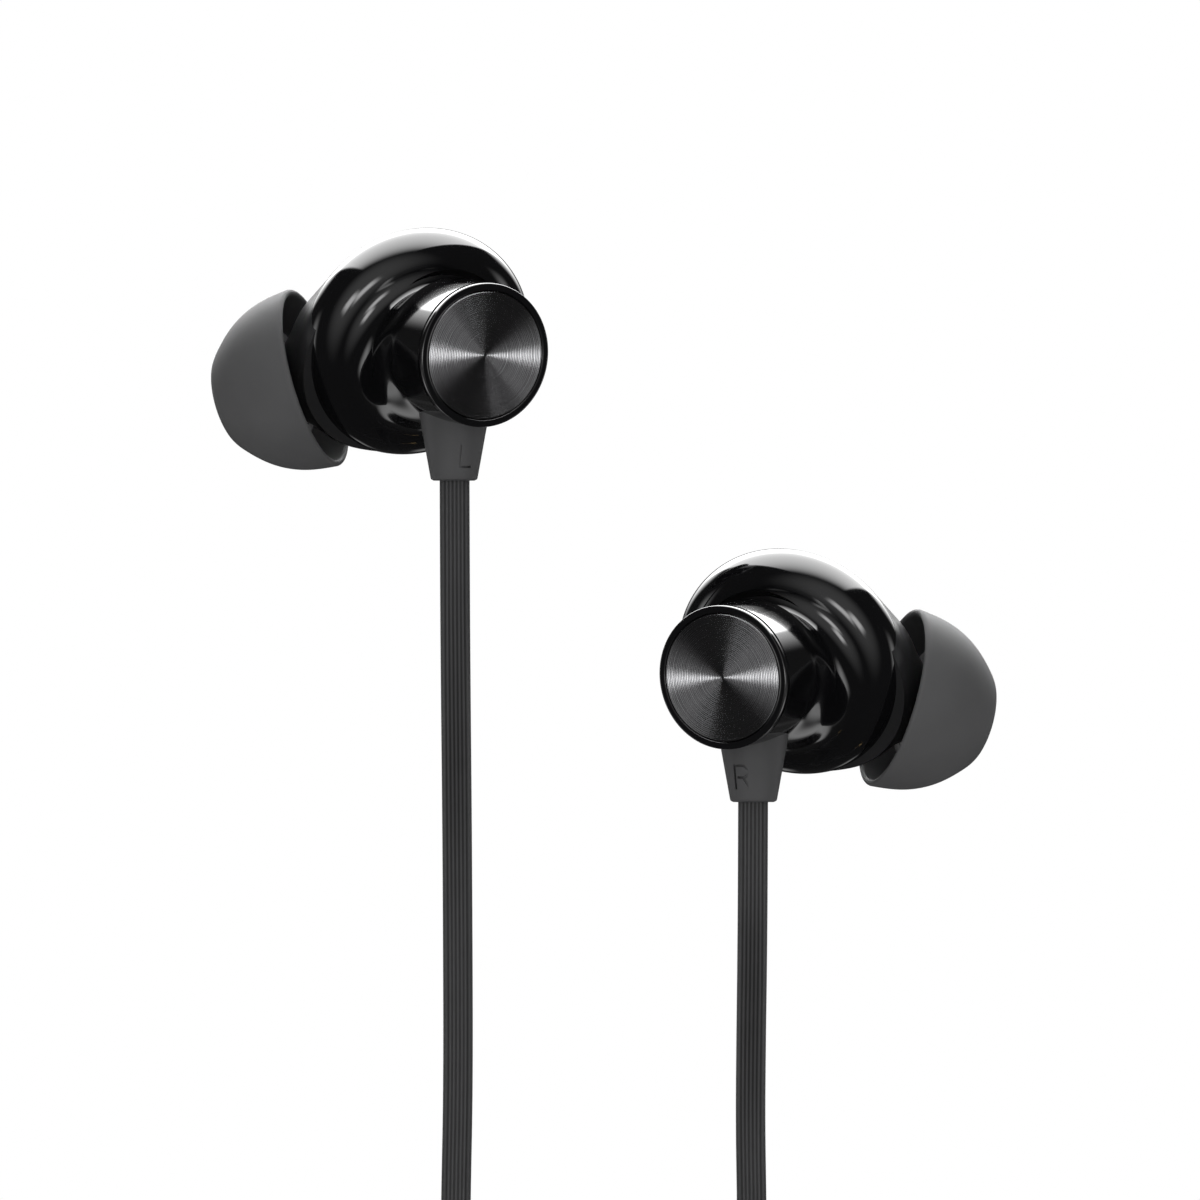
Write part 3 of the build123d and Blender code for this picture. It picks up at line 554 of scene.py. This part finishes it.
inner = outer[::-3] - (0.0, shell_wall, 0.0)
inner[0, 0] = outer[-1, 0]
ring_list = np.concatenate([outer, inner])
ring_normals = face_normal * (1 - ring_list[:, 2:]) + body_normal * ring_list[:, 2:]
ring_normals /= np.linalg.norm(ring_normals, axis=1)[:, None]
front_shell = rings_about(body_centre + ring_normals * ring_list[:, :1], ring_normals, ring_list[:, 1], 240)
face_across = np.cross(face_normal, hinge_line)
pocket_radius, pocket_shift, pocket_heading, pocket_floor = 4.85, 0.6, radians(64.0), 2.95
for side in hands:
    faces = handed(grid_faces(len(ring_list), 240, close_rows=True), side)
    housing = make_piece(f"{side}_front_shell", placed(front_shell.reshape(-1, 3), side), faces, gloss_black)
    # the pocket is a prism between the barrel's circle and one that stands off it to one side
    swing = np.arccos((pocket_shift**2 + barrel_radius**2 - pocket_radius**2) / (2 * pocket_shift * barrel_radius))
    turn = np.linspace(-swing, swing, 60)[1:-1] + pocket_heading
    rim = pocket_radius * np.column_stack([np.cos(turn), np.sin(turn)]) + pocket_shift * np.array(
        [cos(pocket_heading), sin(pocket_heading)])
    wall = barrel_radius * np.column_stack([np.cos(turn[::-1]), np.sin(turn[::-1])])
    loop = np.concatenate([rim, wall])
    loop = loop[:, :1] * hinge_line + loop[:, 1:] * face_across
    levels = np.array([pocket_floor - 9.85, 1.0])
    prism = np.stack([loop + level * face_normal for level in levels])
    count = len(loop)
    cutter_faces = handed([*grid_faces(2, count).tolist(), list(range(count))[::-1],
                           list(range(count, 2 * count))], side)
    cutter = make_piece(f"{side}_pocket", placed(prism.reshape(-1, 3), side), cutter_faces, gloss_black)
    cut_away(housing, cutter)
    settle(housing, "root", "gloss_shell", f"{side}_front_housing")


# ---- Rear housings ------------------------------------------------------------------------------
# Satin black ABS moulding: the back of the round body runs into the shoulder and the short nozzle
# that carries the ear tip. It is moulded in one, and the driver sits in its open front.
satin_black = moulded_material("satin_black", (0.02, 0.02, 0.021), 0.32, 0.25, 3500.0, 0.003 * MM,
                               specular=0.35)
sink = np.array([-0.25, 0, -0.968])
rear_rings = np.array([(-0.93, 0.0, 7.7), (0.0, 0.0, 8.06), (1.2, 0.0, 7.8), (1.9, 1.3, 6.95), (2.4, 2.5, 5.7),
                       (2.8, 3.55, 3.4), (2.95, 4.1, 0.0)])
sink_depth = -sink @ body_normal
sink_aside = sink + sink_depth * body_normal
dome_depth = rear_rings[:, 0] + rear_rings[:, 1] * sink_depth
shoulder = np.array([(5.9, -4.0), (5.35, -2.0), (4.7, -0.8), (3.9, 0.0), (3.0, 0.9), (2.75, 1.3)])


def dome_gap(points):
    """How far points stand out of the dome: their distance from its sheared axis, less its radius
    at that depth, with the dome rounded off below its last ring."""
    depth = -(points - body_centre) @ body_normal
    sunk = np.interp(depth, dome_depth, rear_rings[:, 1])
    radius = np.interp(depth, fine_depth, fine_radius)
    off_axis = points - body_centre + depth[..., None] * body_normal - sunk[..., None] * sink_aside
    gap = np.linalg.norm(off_axis, axis=-1) - radius
    return np.maximum(gap, (depth - dome_depth[-1]) * 1.5)


def shoulder_gap(points):
    """How far points stand out of the nozzle's shoulder: the same measure, about the nozzle."""
    height = (points - tip_seat) @ tip_normal
    radius = smooth_through(shoulder[:, 1], shoulder[:, 0], np.clip(height, -4.0, 1.3).ravel()).reshape(height.shape)
    gap = np.linalg.norm(points - tip_seat - height[..., None] * tip_normal, axis=-1) - radius
    return np.maximum(gap, np.maximum(height - 1.3, -4.0 - height))


# the dome's radius by depth: a smooth line through its rings, closed like a round cap
fine_depth = np.linspace(dome_depth[0], dome_depth[-1], 400)
squared = smooth_through(dome_depth, rear_rings[:, 2]**2, fine_depth)[:, 0]
fine_radius = np.sqrt(np.maximum(squared, 0))
blend_width = 1.3
polar_start = np.arctan2(parting_radius, parting_height)
polar = np.linspace(polar_start, pi - 0.004, 170)
round_angle = np.linspace(0, 2 * pi, 240, endpoint=False)
body_across = np.cross(body_normal, hinge_line)
rays = (np.cos(polar)[:, None, None] * body_normal + np.sin(polar)[:, None, None] * (
    np.cos(round_angle)[None, :, None] * hinge_line + np.sin(round_angle)[None, :, None] * body_across))
near, far = np.full(rays.shape[:2], 2.0), np.full(rays.shape[:2], 16.0)
for _ in range(34):
    # the smooth minimum of the two gaps is nil on the surface: halve the stretch that holds it
    middle = (near + far) / 2
    spot = body_centre + rays * middle[..., None]
    a, b = dome_gap(spot), shoulder_gap(spot)
    mix = np.maximum(blend_width - np.abs(a - b), 0) / blend_width
    outside = np.minimum(a, b) - mix**2 * blend_width / 4 > 0
    near, far = np.where(outside, near, middle), np.where(outside, middle, far)
rear_shell = body_centre + rays * near[..., None]
lip = rings_about(body_centre + np.array([[0.0], [parting_height]]) * body_normal + 0 * hinge_line,
                  np.broadcast_to(body_normal, (2, 3)), np.array([7.0, 7.5]), 240)
for side in hands:
    points, faces = closed_tube(np.concatenate([lip, rear_shell])[:, ::-1])
    housing = make_piece(f"{side}_rear_shell", placed(points, side), handed(faces, side), satin_black, 40)
    settle(housing, "root", "satin_shell")
    nozzle_outline = [(2.0, -1.0), (2.6, -1.0), (2.6, 4.4), (2.85, 4.65), (2.85, 5.05), (2.72, 5.2), (2.3, 5.2),
                      (2.3, 4.75), (2.0, 4.75)]
    tube = turned(nozzle_outline, tip_seat, tip_normal, tip_across, 96)
    nozzle = make_piece(f"{side}_nozzle", placed(tube.reshape(-1, 3), side),
                        handed(grid_faces(len(nozzle_outline), 96, close_rows=True), side), satin_black, 40)
    settle(nozzle, "root", "satin_shell")
    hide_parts(f"{side}_rear_housing")


# ---- End caps and faceplates --------------------------------------------------------------------
# A gloss black ring and disc close the barrel. The aluminium disc let into it is turned on a lathe,
# so its face has fine concentric grooves and a bright bevelled edge, and it is anodised dark grey.
def spun_material(name, colour, roughness):
    """Anodised spun aluminium: the tint and roughness change from groove to groove, by a noise
    that is stretched round the disc and so depends on the distance from its middle."""
    made, shader = new_material(name)
    tree = made.node_tree
    distance = add(tree, "ShaderNodeAttribute", attribute_name="from_middle").outputs["Fac"]
    bands = add(tree, "ShaderNodeTexNoise", {"W": distance, "Scale": 9.0, "Detail": 3.0}, noise_dimensions="1D")
    place = add(tree, "ShaderNodeTexCoord").outputs["Object"]
    specks = add(tree, "ShaderNodeTexNoise", {"Vector": place, "Scale": 6000.0}).outputs["Fac"]
    tint = add(tree, "ShaderNodeMixRGB", {"Fac": bands.outputs["Fac"], "Color1": (*(c * 0.6 for c in colour), 1),
                                          "Color2": (*(c * 1.35 for c in colour), 1)})
    uneven = maths(tree, "MULTIPLY_ADD", maths(tree, "SUBTRACT", specks, 0.5), 0.12, roughness)
    tree.links.new(tint.outputs[0], shader.inputs["Base Color"])
    tree.links.new(uneven, shader.inputs["Roughness"])
    shader.inputs["Metallic"].default_value = 1.0
    return made


spun_aluminium = spun_material("spun_aluminium", (0.2, 0.2, 0.205), 0.16)
groove_pitch, groove_swing = 0.125, 0.016
plate_radius, plate_edge = 4.4, 4.34
groove_radii = np.arange(groove_pitch, plate_edge - 0.04, groove_pitch / 6)
plate_outline = np.column_stack([groove_radii, -0.03 + groove_swing * np.cos(2 * pi * groove_radii / groove_pitch)])
plate_outline = np.concatenate([plate_outline, [(plate_edge, -0.02), (plate_radius, -0.09), (plate_radius, -0.5)]])
cap_outline = np.array([(4.0, -0.5), (4.43, -0.5), (4.43, -0.03), (4.44, -0.01), (4.46, 0.0), (4.80, 0.0),
                        (4.84, -0.012), (4.87, -0.03), (4.89, -0.06), (4.9, -0.1), (4.9, -0.55), (4.88, -0.59),
                        (4.84, -0.6), (4.0, -0.6)])
for side in hands:
    ring = turned(cap_outline, np.zeros(3), face_normal, hinge_line, 240)
    cap = make_piece(f"{side}_cap_ring", placed(ring.reshape(-1, 3), side),
                     handed(grid_faces(len(cap_outline), 240, close_rows=True)[:, ::-1], side), gloss_black, 50)
    points, faces = closed_tube(turned(plate_outline, np.zeros(3), face_normal, hinge_line, 200)[:, ::-1])
    plate = make_piece(f"{side}_spun_plate", placed(points, side), handed([f[::-1] for f in faces], side),
                       spun_aluminium, 40)
    spread = plate.data.attributes.new("from_middle", "FLOAT", "POINT")
    spread.data.foreach_set("value", np.linalg.norm(points - face_normal * (points @ face_normal)[:, None], axis=1))
    settle(cap, "root", "gloss_shell", f"{side}_end_cap")
    settle(plate, "root", "spun_metal", f"{side}_faceplate")


# ---- Ear tips -----------------------------------------------------------------------------------
# Soft dark grey silicone, moulded in one: a thin dome that folds back over a thicker sleeve, which
# grips the nozzle. It pulls off forwards.
tip_silicone = moulded_material("tip_silicone", (0.11, 0.11, 0.112), 0.6, 0.25, 2500.0, 0.004 * MM,
                                specular=0.12)
tip_outer = np.array([(6.25, 0.0), (5.97, 1.95), (5.1, 4.0), (3.75, 5.6), (2.75, 6.35), (2.35, 6.5)])
tip_inner = np.array([(3.85, 4.3), (4.9, 3.55), (5.52, 1.8), (5.8, 0.0)])


def through(points, count):
    """Points along a smooth line through the given ones, spaced by their distances."""
    points = np.asarray(points, float)
    knots = np.r_[0, np.cumsum(np.linalg.norm(np.diff(points, axis=0), axis=1))]
    return smooth_through(knots, points, np.linspace(0, knots[-1], count))


rim_turn = np.linspace(-pi, 0, 9)[1:-1]
rim = np.column_stack([6.025 + 0.225 * np.cos(rim_turn), 0.225 * np.sin(rim_turn)])
tip_outline = np.concatenate([
    through(tip_outer, 60), [(2.2, 6.45), (2.1, 6.3), (2.1, 5.6), (2.2, 5.5), (2.93, 5.5), (2.93, 1.5), (3.05, 1.42),
                             (3.7, 1.42), (3.83, 1.6), (3.83, 4.1)],
    through(tip_inner, 40), rim])
for side in hands:
    surface = turned(tip_outline, tip_seat, tip_normal, tip_across, 200)
    tip = make_piece(f"{side}_silicone_tip", placed(surface.reshape(-1, 3), side),
                     handed(grid_faces(len(tip_outline), 200, close_rows=True), side), tip_silicone, 50)
    settle(tip, f"{side}_ear_tip", "tip_silicone", f"{side}_ear_tip")


# ---- Strain reliefs -----------------------------------------------------------------------------
# Soft rubber sleeves where the leads leave the barrels, wide and round at the barrel and flattened
# to the lead's shape at the end, with a plain L or R sunk into the face that looks forwards.
relief_rubber = moulded_material("relief_rubber", (0.085, 0.085, 0.087), 0.5, 0.25, 3000.0, 0.005 * MM,
                                 specular=0.2)
relief_back, relief_length = 4.4, 3.55
relief_centre = -relief_back * face_normal
relief_x, relief_z = relief_centre[0], relief_centre[2]
marks = {
    "left": [[(-0.4, 0.75), (-0.4, -0.75), (0.4, -0.75)]],
    "right": [[(-0.45, -0.8), (-0.45, 0.8), (0.2, 0.8), (0.5, 0.5), (0.5, 0.25), (0.2, 0.0), (-0.3, 0.0)],
              [(0.1, 0.0), (0.5, -0.8)]],
}
mark_depth, mark_stroke, mark_radius, mark_slope = 0.15, 0.16, 1.66, 0.19
down = np.linspace(2.6, barrel_radius + relief_length, 70)
top_size, end_size = np.array([2.62, 2.35]), np.array([1.565, 1.2])
for side, hand in hands.items():
    share = ((down - down[0]) / (down[-1] - down[0]))[:, None]
    sizes = top_size * (1 - share) + end_size * share
    shrink = np.clip(down[:, None] - down[-1] + 0.18, 0, None)
    sizes = sizes - (0.18 - np.sqrt(np.maximum(0.18**2 - shrink**2, 0)))
    power = 2.0 + 0.9 * share[:, 0]
    around = np.linspace(0, 2 * pi, 160, endpoint=False)
    c, s = np.cos(around), np.sin(around)
    reach = (np.abs(c)[None] ** power[:, None] + np.abs(s)[None] ** power[:, None]) ** (-1 / power[:, None])
    sleeve = np.stack([relief_x + sizes[:, :1] * reach * c, np.broadcast_to(-down[:, None], reach.shape),
                       relief_z + sizes[:, 1:] * reach * s], -1)
    points, faces = closed_tube(sleeve)
    relief = make_piece(f"{side}_relief_sleeve", placed(points, side), handed(faces, side), relief_rubber, 50)
    outward = np.array([hand * face_normal[0], 0, face_normal[2]])
    outward /= np.linalg.norm(outward)
    mark_x = np.cross((0, 1, 0), outward)
    mark_y = np.array([0, 1, 0]) + mark_slope * outward
    middle = np.array([hand * relief_x, -(2 * barrel_radius + relief_length) / 2 - 0.1, relief_z]) + face_centre[side]
    for number, stroke in enumerate(marks[side]):
        stroke = np.array(stroke)
        heading = np.diff(stroke, axis=0)
        heading /= np.linalg.norm(heading, axis=1)[:, None]
        joint = np.concatenate([heading[:1], heading]) + np.concatenate([heading, heading[-1:]])
        joint /= np.linalg.norm(joint, axis=1)[:, None]
        lean = np.einsum("ij,ij->i", joint, np.concatenate([heading[:1], heading]))
        off = np.column_stack([-joint[:, 1], joint[:, 0]]) * (mark_stroke / 2 / lean)[:, None]
        loop = np.concatenate([stroke + off, (stroke - off)[::-1]])
        flat = middle + loop[:, :1] * mark_x + loop[:, 1:] * mark_y
        block = np.concatenate([flat + outward * (mark_radius - mark_depth), flat + outward * (mark_radius + 1)])
        ends = len(stroke)
        count = 2 * ends
        sides = [[i, (i + 1) % count, count + (i + 1) % count, count + i] for i in range(count)]
        caps = []
        for i in range(ends - 1):
            quad = [i, i + 1, count - 2 - i, count - 1 - i]
            caps += [quad, [count + corner for corner in quad[::-1]]]
        cutter = make_piece(f"{side}_mark_{number}", block * MM, sides + caps, relief_rubber)
        shape = bmesh.new()
        shape.from_mesh(cutter.data)
        bmesh.ops.recalc_face_normals(shape, faces=shape.faces)
        shape.to_mesh(cutter.data)
        shape.free()
        cut_away(relief, cutter)
    settle(relief, "root", "soft_rubber", f"{side}_strain_relief")

# ---- Nozzle meshes and drivers ------------------------------------------------------------------
# A pierced steel disc sits in a seat at each nozzle's end. Behind it, inside the body, is a 10 mm
# moving-coil driver: steel basket, yoke and plate, magnet, copper coil, film diaphragm and board.
def pierced_material(name, colour):
    """Pierced steel: round dark holes in straight rows, by the product of two sines in the disc's
    own plane, which an attribute carries."""
    made = moulded_material(name, colour, 0.35, 0.3, 4000.0, 0.002 * MM, metallic=1.0)
    tree = made.node_tree
    shader, skin = tree.nodes["Principled BSDF"], tree.nodes["Group"]
    flat = add(tree, "ShaderNodeSeparateXYZ", {
        0: add(tree, "ShaderNodeAttribute", attribute_name="in_plane").outputs["Vector"]})
    waves = [maths(tree, "SINE", maths(tree, "MULTIPLY", flat.outputs[axis], 2 * pi / 0.36)) for axis in "XY"]
    wire = add(tree, "ShaderNodeMapRange", {
        "Value": maths(tree, "ABSOLUTE", maths(tree, "MULTIPLY", *waves)), "From Min": 0.45, "From Max": 0.25})
    shaded = add(tree, "ShaderNodeVectorMath", {0: skin.outputs["Colour"], "Scale": wire.outputs[0]},
                 operation="SCALE")
    tree.links.new(shaded.outputs[0], shader.inputs["Base Color"])
    return made


def dress(material, *names):
    """Give the material to pieces that are used as they come."""
    for name in names:
        nodes[name].data.materials.clear()
        nodes[name].data.materials.append(material)


pierced_steel = pierced_material("pierced_steel", (0.5, 0.5, 0.5))
pressed_steel = moulded_material("pressed_steel", (0.45, 0.45, 0.46), 0.38, 0.3, 3000.0, 0.003 * MM, metallic=1.0)
sintered_magnet = moulded_material("sintered_magnet", (0.30, 0.30, 0.32), 0.45, 0.3, 5000.0, 0.003 * MM, metallic=0.9)
wound_copper = moulded_material("wound_copper", (0.72, 0.32, 0.14), 0.32, 0.3, 9000.0, 0.006 * MM, metallic=1.0)
clear_film = moulded_material("clear_film", (0.32, 0.30, 0.24), 0.3, 0.2, 2000.0, 0.002 * MM)
green_board = moulded_material("green_board", (0.02, 0.10, 0.045), 0.4, 0.3, 4000.0, 0.003 * MM)
mesh_outline = [(2.3, 4.75), (2.3, 4.93), (2.28, 4.95)]
for side in hands:
    points, faces = closed_tube(turned(mesh_outline, tip_seat, tip_normal, tip_across, 96))
    disc = make_piece(f"{side}_pierced_disc", placed(points, side), handed(faces, side), pierced_steel, 40)
    flat = points - tip_seat
    in_plane = np.column_stack([flat @ tip_across, flat @ np.cross(tip_normal, tip_across), np.zeros(len(flat))])
    disc.data.attributes.new("in_plane", "FLOAT_VECTOR", "POINT").data.foreach_set("vector", in_plane.ravel())
    settle(disc, "root", "steel_mesh", f"{side}_nozzle_mesh")
    dress(pressed_steel, f"{side}_driver_basket", f"{side}_driver_yoke", f"{side}_pole_plate",
          f"{side}_driver_grille")
    dress(sintered_magnet, f"{side}_driver_magnet")
    dress(wound_copper, f"{side}_voice_coil")
    dress(clear_film, f"{side}_diaphragm")
    dress(green_board, f"{side}_driver_board")


# ---- Splitter -----------------------------------------------------------------------------------
# A small satin black wedge, where the two leads become one. It is moulded as two halves that are
# welded together along the middle of its edge.
def rounded_outline(corners, radius, per_corner=14):
    """Points and outward directions round a convex polygon whose corners are arcs of the radius:
    each corner's arc turns from one side's outward direction to the next one's."""
    corners = np.asarray(corners, float)
    runs = np.roll(corners, -1, axis=0) - corners
    outward = np.column_stack([runs[:, 1], -runs[:, 0]]) / np.linalg.norm(runs, axis=1)[:, None]
    before = np.roll(outward, 1, axis=0)
    start = np.arctan2(before[:, 1], before[:, 0])
    turn = (np.arctan2(outward[:, 1], outward[:, 0]) - start) % (2 * pi)
    angle = start[:, None] + turn[:, None] * np.linspace(0, 1, per_corner)
    heading = np.stack([np.cos(angle), np.sin(angle)], -1)
    middle = corners - (before + outward) * (radius / (1 + (before * outward).sum(1)))[:, None]
    return (middle[:, None] + radius * heading).reshape(-1, 2), heading.reshape(-1, 2)


def slab(outline, heading, low, high, edge_low, edge_high):
    """A solid with an upright wall round the outline. Its lower and upper edges are quarter circles:
    each ring is set in by edge * (1 - cos) and stands edge * (1 - sin) from the face."""
    turn = np.linspace(0, pi / 2, 9)
    inset = np.r_[edge_low * (1 - np.sin(turn)), edge_high * (1 - np.cos(turn))]
    level = np.r_[low + edge_low * (1 - np.cos(turn)), high - edge_high * (1 - np.sin(turn))]
    rings = outline[None] - heading[None] * inset[:, None, None]
    return np.concatenate([rings, np.broadcast_to(level[:, None, None], (*rings.shape[:2], 1))], -1)


splitter_black = moulded_material("splitter_black", (0.012, 0.012, 0.013), 0.34, 0.25, 3500.0, 0.004 * MM)
splitter_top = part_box("splitter_front")[1].z / MM
splitter_corners = [(splitter_x - 2.4, splitter_low[1]), (splitter_x + 2.4, splitter_low[1]),
                    (splitter_x + 3.8, splitter_high[1]), (splitter_x - 3.8, splitter_high[1])]
seam_edge = 0.06
for name, low, high, edges in (("splitter_back", 0.0, lead_level, (0.8, seam_edge)),
                               ("splitter_front", lead_level, splitter_top, (seam_edge, 0.8))):
    points, faces = closed_tube(slab(*rounded_outline(splitter_corners, 1.2), low, high, *edges))
    half = make_piece(f"{name}_half", points * MM, faces, splitter_black, 50)
    settle(half, "root", "remote_shell", name)


# ---- Remote -------------------------------------------------------------------------------------
# A slim satin black housing of two halves with three silicone buttons that stand a little proud, a
# pinhole for the microphone at one end, and a board with three dome switches inside.
def remote_place(points):
    """Points along, across and above the remote's middle, in the shared frame, in metres."""
    middle = (remote_start + remote_end) / 2
    across = np.array([-remote_along[1], remote_along[0]])
    flat = middle + points[..., :1] * remote_along + points[..., 1:2] * across
    return np.concatenate([flat, points[..., 2:]], -1) * MM


def oblong(length, width, at=0.0):
    """Corners of an upright rectangle, anticlockwise, about a point on the remote's axis."""
    return [(at - length / 2, -width / 2), (at + length / 2, -width / 2), (at + length / 2, width / 2),
            (at - length / 2, width / 2)]


remote_black = moulded_material("remote_black", (0.011, 0.011, 0.012), 0.3, 0.25, 3500.0, 0.003 * MM)
button_rubber = moulded_material("button_rubber", (0.035, 0.035, 0.037), 0.5, 0.25, 3000.0, 0.004 * MM)
remote_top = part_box("remote_front")[1].z / MM
button_xs = {"button_up": -5.6, "button_play": 0.0, "button_down": 5.6}
on_main_lead = [nodes[name] for name in ("remote_board", "remote_switches", "microphone", "lead_ties")]
for name, low, high, edges in (("remote_back", 0.0, remote_top / 2, (1.0, seam_edge)),
                               ("remote_front", remote_top / 2, remote_top, (seam_edge, 1.0))):
    points, faces = closed_tube(slab(*rounded_outline(oblong(24.0, 6.8), 2.6, 24), low, high, *edges))
    half = make_piece(f"{name}_half", remote_place(points), faces, remote_black, 50)
    if name == "remote_front":
        for x in button_xs.values():
            points, faces = closed_tube(slab(*rounded_outline(oblong(4.64, 3.04, x), 1.0), 3.75, 6.0, 0.0, 0.0))
            cut_away(half, make_piece("opening", remote_place(points), faces, remote_black))
        hole = np.linspace(0, 2 * pi, 24, endpoint=False)
        round_hole = np.column_stack([np.cos(hole), np.sin(hole)])
        points, faces = closed_tube(slab(round_hole * 0.35 + (-9.4, 0), round_hole, 3.75, 6.0, 0.0, 0.0))
        cut_away(half, make_piece("opening", remote_place(points), faces, remote_black))
    settle(half, "root", "remote_shell", name)
    on_main_lead.append(half)
for name, x in button_xs.items():
    points, faces = closed_tube(slab(*rounded_outline(oblong(4.4, 2.8, x), 0.9), 3.85, remote_top + 0.35, 0.05, 0.3))
    button = make_piece(f"{name}_cap", remote_place(points), faces, button_rubber, 50)
    settle(button, name, "button_plastic", name)
    on_main_lead.append(button)
dress(green_board, "remote_board")
dress(pressed_steel, "remote_switches", "microphone")


# ---- Plug ---------------------------------------------------------------------------------------
# A 3.5 mm four-pole plug: gold-plated brass contacts on a black insulator, in a moulded grip, with a
# soft boot that keeps the lead from kinking.
def plug_piece(name, node, outline, material, slot_name):
    """A closed outline of (radius, distance from the boot's end) turned about the plug's axis."""
    origin = np.array([*(leave + plug_line * 15), plug_level])
    rings = turned(outline, origin, np.array([*plug_line, 0.0]), np.array([0.0, 0.0, 1.0]), 96)
    piece = make_piece(name, rings.reshape(-1, 3) * MM, grid_faces(len(outline), 96, close_rows=True), material, 40)
    settle(piece, "root", slot_name, node)
    on_main_lead.append(piece)


boot_rubber = moulded_material("boot_rubber", (0.03, 0.03, 0.032), 0.5, 0.25, 3000.0, 0.005 * MM)
grip_black = moulded_material("grip_black", (0.012, 0.012, 0.013), 0.32, 0.25, 3500.0, 0.003 * MM)
gold_plate = moulded_material("gold_plate", (0.83, 0.58, 0.26), 0.16, 0.12, 2500.0, 0.001 * MM, metallic=1.0)
black_nylon = moulded_material("black_nylon", (0.02, 0.02, 0.02), 0.4, 0.2, 4000.0, 0.002 * MM)
plug_piece("plug_boot_sleeve", "plug_boot",
           [(1.36, 2.0), (1.36, 0.05), (1.4, 0.0), (1.9, 0.0), (1.97, 0.1), (2.0, 2.4), (2.08, 2.5), (2.08, 2.9),
            (2.05, 3.0), (2.1, 4.4), (2.2, 4.5), (2.2, 4.9), (2.17, 5.0), (2.28, 7.0), (2.3, 10.0), (1.36, 10.0)],
           boot_rubber, "soft_rubber")
plug_piece("plug_grip_body", "plug_grip",
           [(2.3, 8.0), (2.95, 8.0), (3.1, 8.06), (3.2, 8.25), (3.2, 21.3), (3.12, 21.6), (2.9, 21.88), (2.6, 22.0),
            (1.55, 22.0), (1.55, 20.0), (0.7, 20.0), (0.7, 10.0), (2.3, 10.0)], grip_black, "remote_shell")
plug_piece("plug_sleeve_contact", "plug_sleeve",
           [(1.3, 20.0), (1.55, 20.0), (1.55, 22.0), (1.75, 22.0), (1.75, 26.6), (1.3, 26.6)], gold_plate,
           "gold_contact")
for number, start in enumerate((27.2, 30.0)):
    plug_piece(f"plug_ring_contact_{number}", "plug_rings",
               [(1.3, start), (1.75, start), (1.75, start + 2.2), (1.3, start + 2.2)], gold_plate, "gold_contact")
plug_piece("plug_tip_contact", "plug_tip",
           [(0.0, 20.0), (0.6, 20.0), (0.6, 32.8), (1.75, 32.8), (1.75, 33.12), (1.3, 33.5), (1.2, 33.62),
            (1.28, 33.8), (1.55, 34.2), (1.6, 34.35), (1.58, 34.6), (1.5, 34.85), (1.0, 35.55), (0.7, 35.85),
            (0.4, 35.97), (0.0, 36.0)], gold_plate, "gold_contact")
plug_piece("plug_insulator_core", "plug_insulator",
           [(0.6, 20.0), (1.3, 20.0), (1.3, 26.6), (1.74, 26.6), (1.74, 27.2), (1.3, 27.2), (1.3, 29.4), (1.74, 29.4),
            (1.74, 30.0), (1.3, 30.0), (1.3, 32.2), (1.74, 32.2), (1.74, 32.8), (0.6, 32.8)], black_nylon,
           "insulator")


# ---- Ties ---------------------------------------------------------------------------------------
# Soft rubber straps that hold each wound coil of spare lead together.
strap_rubber = moulded_material("strap_rubber", (0.03, 0.03, 0.032), 0.55, 0.25, 2500.0, 0.006 * MM)
dress(strap_rubber, "lead_ties")
